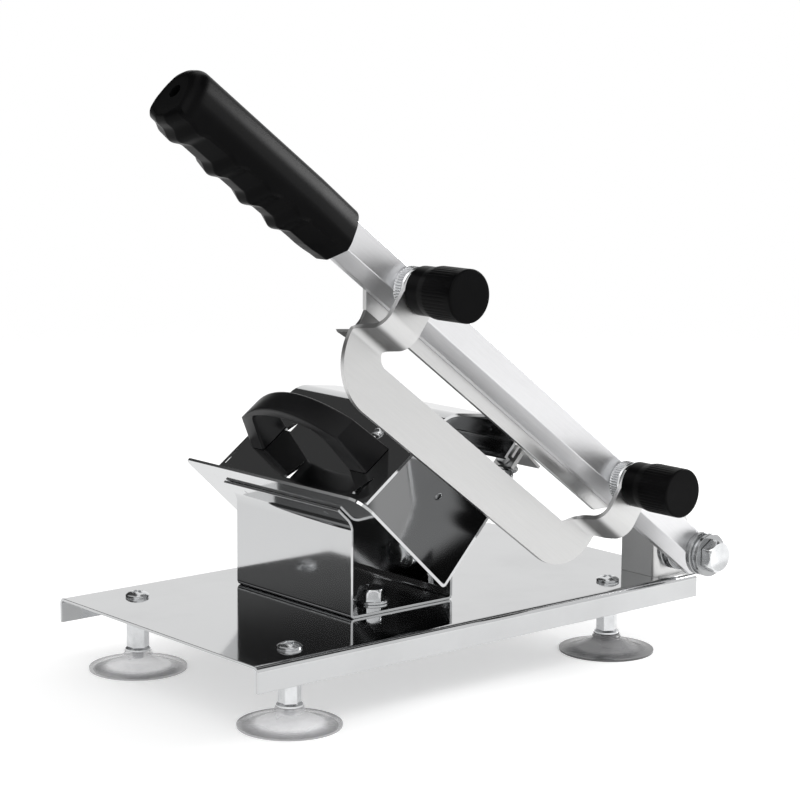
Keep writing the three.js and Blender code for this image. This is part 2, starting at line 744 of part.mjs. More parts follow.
// A rod across the right wall, between two distances inside its outer face
function acrossWall(radius, from, to, sides, level = SHOE_BOLT_LEVEL) {
  return laidOn(rodZ(level, shoeMiddle(), radius, from, to, sides), rightWay, leftWay, fold.toArray());
}

// The guide shoe: a leg against the presser's lip, a web over the wall and a lug that takes the bolt
function guideShoe() {
  const inside = lipInside() - GAP - SHEET;
  const section = foldedShape([
    [SHOE_FOOT, inside],
    [SHOE_TOP, inside],
    [SHOE_TOP, SHOE_OUTSIDE],
  ].map(([along, depth]) => onRight(along, depth)), SHEET, BEND);
  const lug = [
    [SHOE_TOP + SHEET / 2, -LUG_THICKNESS / 2],
    [SHOE_TOP + SHEET / 2, LUG_THICKNESS / 2],
    [LUG_FOOT, LUG_THICKNESS / 2],
    [LUG_FOOT, -LUG_THICKNESS / 2],
  ].map(([along, depth]) => onRight(along, depth));
  const lugNear = PRESSER_NEAR + LUG_INSET;
  return drilled([
    alongY(section, PRESSER_NEAR, PRESSER_NEAR + SHOE_LENGTH),
    alongY(roundedShape(lug), lugNear, lugNear + LUG_WIDTH),
  ], [acrossWall(SHOE_BOLT_RADIUS + GAP, -LUG_THICKNESS, LUG_THICKNESS, SMALL_SIDES)]);
}

// The shoe's bolt, its head inside the wall and its end outside
function shoeBolt() {
  const face = LUG_THICKNESS / 2 + GAP;
  return join([
    acrossWall(SHOE_BOLT_RADIUS, SHOE_BOLT_END, face + SHOE_BOLT_HEAD / 2, SMALL_SIDES),
    acrossWall(acrossCorners(SHOE_BOLT_FLATS), face, face + SHOE_BOLT_HEAD, HEX),
  ]);
}

function shoeNut() {
  const face = -LUG_THICKNESS / 2 - GAP;
  return cut(
    acrossWall(acrossCorners(SHOE_BOLT_FLATS), face - SHOE_NUT_HEIGHT, face, HEX),
    [acrossWall(SHOE_BOLT_RADIUS + GAP, face - SHOE_NUT_HEIGHT - OVERRUN, face + OVERRUN, SMALL_SIDES)],
  );
}

// The pivot upright: two walls folded at a corner, standing on a foot plate
function pivotUpright() {
  const right = UPRIGHT_X + UPRIGHT_WIDTH;
  const far = UPRIGHT_NEAR + UPRIGHT_DEPTH;
  const wallRight = UPRIGHT_X + UPRIGHT_SHEET;
  const near = roundedShape([
    [UPRIGHT_X, 0],
    [right, 0],
    [right, UPRIGHT_HEIGHT, UPRIGHT_CORNER],
    [UPRIGHT_X, UPRIGHT_HEIGHT],
  ]);
  const side = roundedShape([
    [UPRIGHT_NEAR, 0],
    [far, 0],
    [far, UPRIGHT_HEIGHT, UPRIGHT_CORNER],
    [UPRIGHT_NEAR, UPRIGHT_HEIGHT],
  ]);
  return drilled([
    alongY(near, UPRIGHT_NEAR, UPRIGHT_NEAR + UPRIGHT_SHEET),
    alongX(side, UPRIGHT_X, wallRight),
    box([UPRIGHT_X, UPRIGHT_NEAR, 0], [right, far, UPRIGHT_SHEET]),
  ], [
    rodY(PIVOT_X, PIVOT_Z, PIVOT_RADIUS + GAP, UPRIGHT_NEAR - OVERRUN, UPRIGHT_NEAR + UPRIGHT_SHEET + OVERRUN),
    ...uprightScrewPlaces().map(([x, y]) => (
      rodZ(x, y, PLATE_SCREW.shank + GAP, -OVERRUN, UPRIGHT_SHEET + OVERRUN, SMALL_SIDES)
    )),
  ]);
}

// The pivot bolt along Y through the origin, with a hexagon head towards the viewer
function pivotBolt() {
  return join([
    rodY(0, 0, acrossCorners(PIVOT_FLATS), PIVOT_HEAD_FACE, FLANGE_FACE, HEX),
    rodY(0, 0, PIVOT_RADIUS, FLANGE_FACE - OVERRUN, PIVOT_END),
  ]);
}

function pivotNut() {
  const near = UPRIGHT_NEAR + UPRIGHT_SHEET;
  return cut(
    rodY(0, 0, acrossCorners(PIVOT_FLATS), near, near + PIVOT_NUT_HEIGHT, HEX),
    [rodY(0, 0, PIVOT_RADIUS + GAP, near - OVERRUN, near + PIVOT_NUT_HEIGHT + OVERRUN)],
  );
}

// Places on the lever run up it from the pivot and out from its middle line
function lever(up, out, round) {
  return round === undefined ? [-up, out] : [-up, out, round];
}

// The lever bar: a rectangle with its lower near edge bevelled, drilled for the pivot and the studs
function leverBar() {
  const section = roundedShape([
    [BAR_NEAR, BAR_TOP, BAR_ROUND],
    [BAR_NEAR, BAR_BEVEL_TOP, BAR_ROUND],
    [BAR_BEVEL_END, BAR_BOTTOM, BAR_ROUND],
    [BAR_FAR, BAR_BOTTOM, BAR_ROUND],
    [BAR_FAR, BAR_TOP, BAR_ROUND],
  ]);
  const drill = (up, out, radius) => rodY(-up, out, radius + GAP, BAR_NEAR - OVERRUN, BAR_FAR + OVERRUN);
  return cut(alongX(section, BAR_TIP, BAR_TAIL, CORNER_STEPS), [
    drill(0, 0, PIVOT_RADIUS),
    drill(STUD_UPPER, STUD_V, STUD_RADIUS),
    drill(STUD_LOWER, STUD_V, STUD_RADIUS),
  ]);
}

// The grip: a rounded block with four finger bumps beneath, a socket for the bar and a hanging hole
function grip() {
  const bumps = GRIP_BUMPS.map((up) => rodY(-up, GRIP_BUMP_PEAK + GRIP_BUMP_RADIUS, GRIP_BUMP_RADIUS, GRIP_NEAR, GRIP_FAR));
  const side = roundedShape([
    lever(GRIP_START, GRIP_TOP),
    lever(GRIP_END, GRIP_TOP, GRIP_TIP_CORNER),
    lever(GRIP_END, GRIP_VALLEY, GRIP_ROUND),
    lever(GRIP_START, GRIP_BOTTOM),
  ].reverse());
  const tall = GRIP_TOP - GRIP_BUMP_PEAK;
  const end = roundedShape([
    [GRIP_NEAR, GRIP_TOP, GRIP_ROUND],
    [GRIP_NEAR, GRIP_TOP - tall, GRIP_ROUND],
    [GRIP_FAR, GRIP_TOP - tall, GRIP_ROUND],
    [GRIP_FAR, GRIP_TOP, GRIP_ROUND],
  ]);
  const socket = box(
    [BAR_TIP - GAP, BAR_NEAR - GAP, BAR_BOTTOM - GAP],
    [OVERRUN - GRIP_START, BAR_FAR + GAP, BAR_TOP + GAP],
  );
  const hole = rodY(0, 0, GRIP_HOLE_RADIUS, -GRIP_HOLE_DEPTH, GRIP_HOLE_DEPTH, SMALL_SIDES);
  hole.rotateZ(Math.PI / 2).translate(-GRIP_END, GRIP_HOLE_Y, GRIP_HOLE_V);
  const block = join([alongY(side, GRIP_NEAR, GRIP_FAR, CORNER_STEPS), ...bumps]);
  return cut(overlap(block, alongX(end, -GRIP_END - OVERRUN, -GRIP_START, CORNER_STEPS)), [socket, hole]);
}

// The guard strip: cut level at its low end and upright at its high end, with a pointed wing
function guardStrip() {
  const [sine, cosine] = [Math.sin(LEVER_ANGLE), Math.cos(LEVER_ANGLE)];
  const tall = GUARD_HIGH - GUARD_LOW;
  const far = BAR_FAR + GUARD_SHEET;
  const outline = roundedShape([
    lever(GUARD_START, GUARD_LOW),
    lever(GUARD_START - tall * cosine / sine, GUARD_HIGH),
    lever(GUARD_END + tall * sine / cosine, GUARD_HIGH),
    lever(GUARD_END, GUARD_LOW),
    lever(WING_TIP, WING_LOW),
    lever(WING_ROOT, GUARD_LOW),
  ]);
  const drill = (up) => rodY(-up, STUD_V, STUD_RADIUS + GAP, BAR_FAR - OVERRUN, far + OVERRUN);
  return cut(alongY(outline, BAR_FAR, far), [drill(STUD_UPPER), drill(STUD_LOWER)]);
}

// The blade: a bow whose two ears are set forward of its cutting band, each slotted for a stud
function blade() {
  const section = foldedShape([
    [EAR_BACK, EAR_TOP],
    [EAR_BACK, EAR_FOOT],
    [BAND_BACK, BAND_TOP],
    [BAND_BACK, BLADE_EDGE],
  ].reverse(), BLADE_SHEET, BLADE_BEND);
  const outline = roundedShape([
    lever(EAR_UPPER, EAR_TOP, EAR_ROUND),
    lever(EAR_UPPER, EAR_SHOULDER),
    lever(BLADE_UPPER, BLADE_SHOULDER),
    lever(BLADE_UPPER, BLADE_EDGE, UPPER_ROUND),
    lever(BLADE_LOWER, BLADE_EDGE, LOWER_ROUND),
    lever(BLADE_LOWER, BLADE_SHOULDER - OVERRUN),
    lever(EAR_LOWER, EAR_SHOULDER),
    lever(EAR_LOWER, EAR_TOP, EAR_ROUND),
    lever(EAR_LOWER_INNER, EAR_TOP, EAR_ROUND),
    lever(EAR_LOWER_INNER, EAR_SHOULDER),
    lever(WINDOW_LOWER, BLADE_INNER, EAR_ROUND),
    lever(WINDOW_UPPER, BLADE_INNER, WINDOW_ROUND),
    lever(EAR_UPPER_INNER, EAR_SHOULDER),
    lever(EAR_UPPER_INNER, EAR_TOP, EAR_ROUND),
  ]);
  const front = EAR_BACK - BLADE_SHEET;
  const bent = alongX(section, -BLADE_UPPER - OVERRUN, -EAR_LOWER + OVERRUN);
  const bow = overlap(bent, alongY(outline, front - OVERRUN, BAND_BACK + OVERRUN, ARC_STEPS * 2));
  const slot = (up) => [
    rodY(-up, STUD_V, SLOT_RADIUS, front - OVERRUN, EAR_BACK + OVERRUN),
    box([-up - SLOT_RADIUS, front - OVERRUN, STUD_V], [-up + SLOT_RADIUS, EAR_BACK + OVERRUN, EAR_TOP + OVERRUN]),
  ];
  const bandFront = BAND_BACK - BLADE_SHEET;
  const bevel = alongX(roundedShape([
    [bandFront - OVERRUN, BLADE_EDGE - OVERRUN],
    [BAND_BACK - BLADE_SHEET / 2, BLADE_EDGE - OVERRUN],
    [bandFront - OVERRUN, BLADE_EDGE + EDGE_BEVEL],
  ]), -BLADE_UPPER - OVERRUN, -BLADE_LOWER + OVERRUN);
  return cut(bow, [...slot(STUD_UPPER), ...slot(STUD_LOWER), bevel]);
}

// A stud along Y, with a hexagon head behind the guard strip
function stud() {
  const seat = BAR_FAR + GUARD_SHEET;
  return join([
    rodY(0, 0, STUD_RADIUS, STUD_END, seat + OVERRUN),
    rodY(0, 0, acrossCorners(STUD_HEAD_FLATS), seat, STUD_HEAD_END, HEX),
  ]);
}

// A knob turned about Y: a neck against the blade's ear, then a wider barrel with a rounded face
function knob() {
  const length = EAR_BACK - BLADE_SHEET - KNOB_FACE;
  const bore = EAR_BACK - BLADE_SHEET - STUD_END + GAP;
  const hollow = STUD_RADIUS + GAP;
  return turned([
    [hollow, bore],
    [hollow, 0],
    [KNOB_NECK_RADIUS, 0],
    [KNOB_NECK_RADIUS, KNOB_NECK],
    [KNOB_RADIUS, KNOB_NECK],
    [KNOB_RADIUS, length - KNOB_ROUND],
    [KNOB_RADIUS - KNOB_ROUND * 0.3, length - KNOB_ROUND * 0.3],
    [KNOB_RADIUS - KNOB_ROUND, length],
    [0, length],
    [0, bore],
    [hollow, bore],
  ]).rotateX(Math.PI / 2).translate(0, EAR_BACK - BLADE_SHEET, 0);
}

// A collar with its two rims eased, along Y
function collar() {
  const hole = STUD_RADIUS + GAP;
  const length = BAR_NEAR - EAR_BACK;
  return turned([
    [hole, 0],
    [COLLAR_RADIUS - COLLAR_EDGE, 0],
    [COLLAR_RADIUS, COLLAR_EDGE],
    [COLLAR_RADIUS, length - COLLAR_EDGE],
    [COLLAR_RADIUS - COLLAR_EDGE, length],
    [hole, length],
    [hole, 0],
  ]).rotateX(Math.PI / 2).translate(0, BAR_NEAR, 0);
}

// Assembly
const group = new THREE.Group();
group.name = 'frozen_meat_slicer';

const stand = new THREE.Group();
stand.name = 'stand';
group.add(stand);
piece(stand, 'base_plate', basePlate(), MIRROR_STEEL);
footPlaces().forEach(([x, y], index) => {
  const number = index + 1;
  piece(stand, `foot_screw_${number}`, panScrew(FOOT_SCREW), ZINC).position.set(x, y, 0);
  piece(stand, `foot_leg_${number}`, footLeg(), ZINC).position.set(x, y, 0);
  piece(stand, `suction_cup_${number}`, suctionCup(), CLEAR_VINYL).position.set(x, y, 0);
});
piece(stand, 'tray_bracket', trayBracket(), MIRROR_STEEL);
boltPlaces().forEach(([x, y], index) => {
  const number = index + 1;
  piece(stand, `bracket_bolt_${number}`, faceBolt(), ZINC).position.set(x, y, SHEET);
  piece(stand, `bracket_nut_${number}`, faceNut(), ZINC).position.set(x, y, -SHEET);
});
piece(stand, 'trough', trough(), MIRROR_STEEL);
rivetPlaces().forEach(({ along, out, origin, y }, index) => {
  const bottom = -(SHEET + GAP) - RIVET_HEAD_HEIGHT;
  const rivet = domePin(RIVET_HEAD_RADIUS, RIVET_HEAD_HEIGHT, RIVET_SHANK_RADIUS, bottom - SHEET - GAP);
  const seated = laidOn(rivet.translate(0, y, SHEET + GAP), along, out, origin);
  piece(stand, `trough_rivet_${index + 1}`, seated, ZINC);
});
piece(stand, 'pivot_upright', pivotUpright(), SATIN_STEEL);
uprightScrewPlaces().forEach(([x, y], index) => {
  piece(stand, `upright_screw_${index + 1}`, panScrew(PLATE_SCREW), ZINC).position.set(x, y, UPRIGHT_SHEET);
});

// The pivot stack, each ring seated on the next
const pivot = new THREE.Group();
pivot.name = 'pivot';
pivot.position.set(PIVOT_X, 0, PIVOT_Z);
stand.add(pivot);
const pivotHole = PIVOT_RADIUS + GAP;
piece(pivot, 'pivot_bolt', pivotBolt(), ZINC);
piece(pivot, 'pivot_nut', pivotNut(), ZINC);
piece(pivot, 'front_washer_1', washer(WASHER_RADIUS, pivotHole, FLANGE_FACE, FLAT_FACE), ZINC);
piece(pivot, 'front_washer_2', washer(SPRING_RADIUS, pivotHole, FLAT_FACE, SPRING_FACE), ZINC);
piece(pivot, 'front_washer_3', washer(WASHER_RADIUS, pivotHole, SPRING_FACE, BAR_NEAR), ZINC);
piece(pivot, 'rear_washer_1', washer(WASHER_RADIUS, pivotHole, BAR_FAR, REAR_FIRST), ZINC);
piece(pivot, 'rear_washer_2', washer(SPRING_RADIUS, pivotHole, REAR_FIRST, REAR_SECOND), ZINC);
piece(pivot, 'rear_washer_3', washer(WASHER_RADIUS, pivotHole, REAR_SECOND, UPRIGHT_NEAR), ZINC);

// The lever turns about the pivot; its pieces are drawn along it
const arm = new THREE.Group();
arm.name = 'lever';
arm.position.set(PIVOT_X, 0, PIVOT_Z);
arm.rotation.y = LEVER_ANGLE;
group.add(arm);
piece(arm, 'lever_bar', leverBar(), ALUMINIUM);
piece(arm, 'grip', grip(), BLACK_PLASTIC);
piece(arm, 'guard_strip', guardStrip(), SATIN_STEEL);
piece(arm, 'blade', blade(), SATIN_STEEL);
const ends = [['upper', STUD_UPPER], ['lower', STUD_LOWER]];
ends.forEach(([end, up]) => {
  piece(arm, `stud_${end}`, stud(), ZINC).position.set(-up, 0, STUD_V);
  piece(arm, `collar_${end}`, collar(), ZINC).position.set(-up, 0, STUD_V);
  piece(arm, `knob_${end}`, knob(), BLACK_PLASTIC).position.set(-up, 0, STUD_V);
});

// The presser slides along the trough
const presser = new THREE.Group();
presser.name = 'presser';
group.add(presser);
const onSlope = (geometry) => laidOn(geometry, slopeWay, slopeOut, slopeStart.toArray());
piece(presser, 'presser_sheet', presserSheet(), MIRROR_STEEL);
piece(presser, 'arch_handle', onSlope(archHandle()), BLACK_PLASTIC);
handleScrewPlaces().forEach(([x, y], index) => {
  const screw = domePin(HANDLE_SCREW_HEAD, HANDLE_SCREW_RISE, HANDLE_SCREW_RADIUS, -HANDLE_SCREW_DEPTH);
  const seated = onSlope(screw.rotateX(Math.PI).translate(x, y, -SHEET - GAP));
  piece(presser, `handle_screw_${index + 1}`, seated, ZINC);
});
const dome = domePin(DOME_RADIUS, DOME_RISE, DOME_SHANK, -SHEET - GAP * 2 - OVERRUN);
piece(presser, 'dome_rivet', onSlope(dome.translate(DOME_ALONG, PRESSER_NEAR + DOME_ACROSS, GAP)), ZINC);
piece(presser, 'guide_shoe', guideShoe(), SATIN_STEEL);
piece(presser, 'shoe_bolt', shoeBolt(), ZINC);
piece(presser, 'shoe_nut', shoeNut(), ZINC);

// Sets the whole down on its cups with the middle of its footprint at the origin
const bounds = new THREE.Box3().setFromObject(group, true);
const middle = bounds.getCenter(new THREE.Vector3());
group.position.set(-middle.x, -middle.y, -bounds.min.z);

export default group;
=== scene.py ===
"""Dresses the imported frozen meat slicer: sheet-metal stand, V trough, sliding presser and lever blade.

Sizes are in millimetres in the stand's own coordinates: X from the stand's left end along its near
long edge, Y away from that edge, Z up from the stand's top face. The lever's pieces are drawn along
the lever (u up it from the pivot, v square to it) and laid onto it by its angle.
"""

import math

import bmesh
import bpy
import numpy as np
from bpy.props import FloatProperty, FloatVectorProperty, PointerProperty
from mathutils import Matrix, Vector


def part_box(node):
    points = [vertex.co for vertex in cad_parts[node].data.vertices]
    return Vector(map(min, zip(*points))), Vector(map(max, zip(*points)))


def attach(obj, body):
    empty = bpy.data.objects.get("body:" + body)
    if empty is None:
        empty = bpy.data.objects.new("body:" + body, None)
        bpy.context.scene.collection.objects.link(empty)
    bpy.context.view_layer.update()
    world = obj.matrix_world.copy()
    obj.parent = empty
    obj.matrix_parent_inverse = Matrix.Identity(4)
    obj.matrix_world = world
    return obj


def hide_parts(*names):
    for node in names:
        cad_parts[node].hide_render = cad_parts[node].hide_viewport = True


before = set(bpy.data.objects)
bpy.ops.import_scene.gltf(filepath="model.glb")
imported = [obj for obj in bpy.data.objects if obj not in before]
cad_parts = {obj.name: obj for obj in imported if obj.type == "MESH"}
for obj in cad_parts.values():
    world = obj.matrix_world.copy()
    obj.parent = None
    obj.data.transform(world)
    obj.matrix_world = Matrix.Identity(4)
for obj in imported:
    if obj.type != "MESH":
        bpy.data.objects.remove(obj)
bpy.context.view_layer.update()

bl_info = {
    "name": "Frozen Meat Slicer",
    "version": (1, 0, 0),
    "blender": (4, 5, 0),
    "location": "View3D > Sidebar > Slicer",
    "description": "Builds the pieces, finishes and studio of a hand-lever slicer for frozen meat",
    "category": "Object",
}

MM = 0.001
BASE_LOW, BASE_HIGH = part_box("base_plate")
PIVOT_LOW, PIVOT_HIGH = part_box("pivot_bolt")
# The stand's own origin, and the pivot's place in X and Z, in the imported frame
STAND_ORIGIN = np.array([BASE_LOW.x, BASE_LOW.y, BASE_HIGH.z]) / MM
PIVOT = np.array([(PIVOT_LOW.x + PIVOT_HIGH.x) / 2, 0.0, (PIVOT_LOW.z + PIVOT_HIGH.z) / 2]) / MM
LEVER_ANGLE = math.radians(36.6)
SHEET = 1.5


def length(name, value, about):
    """A size that a user can change, in millimetres."""
    return FloatProperty(name=name, description=about + ", in millimetres", default=value, min=0.0)


def colour(name, value, about):
    return FloatVectorProperty(name=name, description=about, default=value, size=3, subtype="COLOR",
                               min=0.0, max=1.0)


def share(name, value, about):
    return FloatProperty(name=name, description=about, default=value, min=0.0, max=1.0, subtype="FACTOR")


class SlicerFinishes(bpy.types.PropertyGroup):
    mirror_steel: colour("Mirror steel", (0.545, 0.55, 0.555), "Colour of the polished sheet")
    satin_steel: colour("Satin steel", (0.60, 0.60, 0.597), "Colour of the blade and the folded brackets")
    aluminium: colour("Aluminium", (0.72, 0.72, 0.73), "Colour of the lever bar")
    zinc: colour("Zinc", (0.70, 0.71, 0.72), "Colour of the bright plated fixings")
    black: colour("Black plastic", (0.0018, 0.0018, 0.0020),
                  "Colour of the grip, the knobs and the arch handle")
    vinyl: colour("Clear vinyl", (0.74, 0.74, 0.76), "Tint of the suction cups")
    mirror_roughness: share("Mirror roughness", 0.07, "Roughness of the polished sheet")
    satin_roughness: share("Satin roughness", 0.30, "Roughness of the blade")


class SlicerSheets(bpy.types.PropertyGroup):
    base_length: length("Stand length", 300.0, "Length of the stand along its long edge")
    base_width: length("Stand width", 170.0, "Width of the stand")
    base_flange: length("Stand flange", 13.0, "Depth of the two turned-down edges")
    base_bend: length("Stand bend", 1.5, "Inside radius of the stand's two bends")
    bend: length("Sheet bend", 1.0, "Inside radius of the other folds")
    left_wall: length("Trough left wall", 74.5, "Height of the left wall up its slope")
    right_wall: length("Trough right wall", 74.9, "Height of the right wall up its slope")
    near_corner: length("Trough near corner", 10.0, "Radius of the walls' near corners")
    far_corner: length("Trough far corner", 4.0, "Radius of the walls' far corners")
    bracket_shoulder: length("Bracket shoulder", 7.5,
                             "Inside radius where the bracket turns under the trough")
    ridge: length("Presser ridge", 16.5, "Inside radius of the presser's two top bends")
    tooth_length: length("Tooth length", 13.0, "Length of a pressed tooth along the slope")
    tooth_width: length("Tooth width", 5.5, "Width of a pressed tooth's opening")


class SlicerGrips(bpy.types.PropertyGroup):
    grip_start: length("Grip start", 306.0, "Distance of the grip's near end from the pivot")
    grip_end: length("Grip end", 416.1, "Distance of the grip's far end from the pivot")
    bump_height: length("Finger bump", 2.5, "Height of the finger bumps")
    knob_radius: length("Knob radius", 12.5, "Radius of the clamping knobs")
    knob_length: length("Knob length", 32.0, "Length of the clamping knobs")
    collar_radius: length("Collar radius", 10.8, "Radius of the knurled collars")
    handle_rise: length("Arch rise", 12.1, "Rise of the arch handle's bow over its creases")
    handle_width: length("Arch width", 18.9, "Width of the arch handle at its feet")


class SlicerFeet(bpy.types.PropertyGroup):
    cup_radius: length("Cup radius", 25.5, "Radius of a suction cup's rim")
    leg_flats: length("Leg across flats", 10.0, "Width of the hexagonal legs")
    stand_height: length("Stand height", 38.0, "Height of the stand's top face over the worktop")


class SlicerStudio(bpy.types.PropertyGroup):
    key_power: FloatProperty(name="Key light", description="Power of the large soft light", default=6.0,
                             min=0.0, unit="POWER")
    strip_power: FloatProperty(name="Strip light", description="Power of the narrow light on the right",
                               default=11.0, min=0.0, unit="POWER")
    sky: share("Sky", 0.72, "Strength of the even light from all round")


# Shapes: grids of points, worked out as whole arrays

def on_stand(points):
    """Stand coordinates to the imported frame, both in millimetres."""
    return np.asarray(points, float) + STAND_ORIGIN


def on_lever(points):
    """Lever coordinates (-u, y, v) turned by the lever's angle about Y and set on the pivot."""
    x, y, z = np.moveaxis(np.asarray(points, float), -1, 0)
    cosine, sine = math.cos(LEVER_ANGLE), math.sin(LEVER_ANGLE)
    laid = np.stack([x * cosine + z * sine, y + STAND_ORIGIN[1], -x * sine + z * cosine], -1)
    return laid + PIVOT


def on_slope(points, start, way, out):
    """(s up a slope, y, h out of it) to stand coordinates: start + s * way + h * out in X and Z."""
    s, y, h = np.moveaxis(np.asarray(points, float), -1, 0)
    return np.stack([start[0] + s * way[0] + h * out[0], y, start[1] + s * way[1] + h * out[1]], -1)


def run_along(path):
    """Distances along a path of points, from 0 at its start."""
    return np.concatenate([[0], np.cumsum(np.linalg.norm(np.diff(path, axis=0), axis=1))])


def grid_quads(rows, cols, close_rows=False, close_cols=False):
    """Corner numbers of the quads between neighbouring points of a grid, wrapped where it closes."""
    index = np.arange(rows * cols).reshape(rows, cols)
    if close_rows:
        index = np.vstack([index, index[:1]])
    if close_cols:
        index = np.hstack([index, index[:, :1]])
    return np.stack([index[:-1, :-1], index[1:, :-1], index[1:, 1:], index[:-1, 1:]], -1).reshape(-1, 4)


def tube(rings, closed=False):
    """A solid from rings of points (R, C, 3), each ring closed. An open run is capped by a fan from
    the middle of its first ring and of its last ring."""
    rows, cols, _ = rings.shape
    points = rings.reshape(-1, 3)
    quads = grid_quads(rows, cols, close_rows=closed, close_cols=True)
    if closed:
        return points, quads.tolist()
    middles = rings[[0, -1]].mean(1)
    around = np.arange(cols)
    after = (around + 1) % cols
    top, count = (rows - 1) * cols, rows * cols
    first = np.stack([np.full(cols, count), around, after], -1)
    last = np.stack([np.full(cols, count + 1), top + after, top + around], -1)
    return np.vstack([points, middles]), quads.tolist() + first.tolist() + last.tolist()


def turned(profile, steps=72, ripple=None):
    """A turned solid about Z: radius and level along a profile, spun through a full circle. The
    optional ripple(angle, radius, level) gives the factor that the radius takes at each angle."""
    profile = np.asarray(profile, float)
    angle = np.arange(steps) * 2 * np.pi / steps
    radius, level = np.repeat(profile[:, :1], steps, 1), np.repeat(profile[:, 1:], steps, 1)
    if ripple is not None:
        radius = radius * ripple(angle[None, :], radius, level)
    return np.stack([radius * np.cos(angle), radius * np.sin(angle), level], -1)


def eased(corners, radius):
    """A profile whose inner corners are rounded: each corner gives way to a short arc from its
    incoming side to its outgoing one, drawn as a quadratic curve."""
    corners = np.asarray(corners, float)
    before, here, after = corners[:-2], corners[1:-1], corners[2:]
    reach = np.minimum(radius, np.minimum(np.linalg.norm(here - before, axis=1),
                                          np.linalg.norm(after - here, axis=1)) * 0.45)[:, None]
    start = here + (before - here) / np.linalg.norm(here - before, axis=1)[:, None] * reach
    end = here + (after - here) / np.linalg.norm(after - here, axis=1)[:, None] * reach
    t = np.linspace(0, 1, 5)[None, :, None]
    arcs = (1 - t) ** 2 * start[:, None] + 2 * t * (1 - t) * here[:, None] + t ** 2 * end[:, None]
    return np.vstack([corners[:1], arcs.reshape(-1, 2), corners[-1:]])


def hexagon(flats, face=None, chamfer=0.0):
    """Radius factor of a hexagon across flats: cos 30 over the cosine of the angle from the nearest
    flat. Near a face level the corners are turned down by a cone of the given height."""
    corner = flats / math.sqrt(3)

    def ripple(angle, radius, level):
        from_flat = (angle + np.pi / 6) % (np.pi / 3) - np.pi / 6
        side = flats / 2 / np.cos(from_flat)
        if face is None:
            return side / corner
        below = np.abs(level - face)
        limit = flats / 2 * 0.985 + below * (corner - flats / 2) / chamfer
        return np.minimum(side, limit) / corner
    return ripple


def along_y(points, x, z, y):
    """Turns a piece drawn about Z to run along Y: its level becomes -Y."""
    px, py, pz = np.moveaxis(np.asarray(points, float), -1, 0)
    return np.stack([px + x, y - pz, py + z], -1)


def folded(points, thick, bends, steps=10):
    """The face of a folded sheet's section and its normals. The sheet lies to the left of its
    travel. At each corner the face follows an arc: centre = corner - e*r*tan(turn/2) + side*n*r.
    A point stands a short lead before each arc and after it, so that shading stays flat beside it."""
    lead = 0.3
    points = np.asarray(points, float)
    ways = np.diff(points, axis=0)
    ways /= np.linalg.norm(ways, axis=1)[:, None]
    normals = np.stack([-ways[:, 1], ways[:, 0]], -1)
    face, normal = [points[:1]], [normals[:1]]
    for corner, e1, e2, n1, n2, inner in zip(points[1:-1], ways, ways[1:], normals, normals[1:], bends):
        turn = math.atan2(e1[0] * e2[1] - e1[1] * e2[0], e1 @ e2)
        side = math.copysign(1.0, turn)
        radius = inner + thick if turn > 0 else inner
        reach = radius * math.tan(abs(turn) / 2)
        centre = corner - e1 * reach + side * n1 * radius
        swing = turn * np.linspace(0, 1, steps + 1)[:, None]
        n = n1 * np.cos(swing) + np.array([-n1[1], n1[0]]) * np.sin(swing)
        arc = centre - side * n * radius
        face += [corner[None] - e1 * (reach + lead), arc, corner[None] + e2 * (reach + lead)]
        normal += [n1[None], n, n2[None]]
    face.append(points[-1:])
    normal.append(normals[-1:])
    return np.vstack(face), np.vstack(normal)


def stations(face, normal, places):
    """Adds points to a section at the given distances along it, by straight interpolation."""
    run = run_along(face)
    at = np.union1d(run, np.clip(places, 0, run[-1]))
    at = at[np.concatenate([[True], np.diff(at) > 1e-5])]
    pick = lambda values: np.stack([np.interp(at, run, values[:, k]) for k in range(values.shape[1])], -1)
    return pick(face), pick(normal), at


def sheet_body(face, back, filled):
    """A sheet from two grids of points (R, C, 3), its face and its back. Cells that aren't filled are
    openings, and a wall joins face to back wherever a filled cell meets an opening or the rim."""
    rows, cols, _ = face.shape
    index = np.arange(rows * cols).reshape(rows, cols)
    count = rows * cols
    cells = np.stack([index[:-1, :-1], index[1:, :-1], index[1:, 1:], index[:-1, 1:]], -1)[filled]
    padded = np.pad(filled, 1)
    across = padded[:-1, 1:-1] != padded[1:, 1:-1]
    along = padded[1:-1, :-1] != padded[1:-1, 1:]
    edges = np.vstack([
        np.stack([index[:, :-1], index[:, 1:]], -1)[across],
        np.stack([index[:-1], index[1:]], -1)[along],
    ])
    walls = np.hstack([edges, edges[:, ::-1] + count])
    quads = np.vstack([cells, cells[:, ::-1] + count, walls])
    return np.vstack([face.reshape(-1, 3), back.reshape(-1, 3)]), quads.tolist()


def bent_sheet(section, lines, thick=SHEET, filled=None):
    """A folded sheet: its section (face, normals) in X and Z, carried along Y between the lines,
    which give Y for each place of the section (rows) and each line (columns)."""
    face, normal = section
    lines = np.broadcast_to(lines, (len(face), np.shape(lines)[-1]))
    lay = lambda xz: np.stack([np.repeat(xz[:, :1], lines.shape[1], 1), lines,
                               np.repeat(xz[:, 1:], lines.shape[1], 1)], -1)
    if filled is None:
        filled = np.ones((len(face) - 1, lines.shape[1] - 1), bool)
    return sheet_body(lay(face), lay(face + normal * thick), filled)


def corner_gap(from_edge, radius):
    """How far a rounded corner stands back from its side, by distance from its edge:
    r - sqrt(r^2 - (r - d)^2)."""
    return radius - np.sqrt(np.maximum(radius ** 2 - np.maximum(radius - from_edge, 0) ** 2, 0))


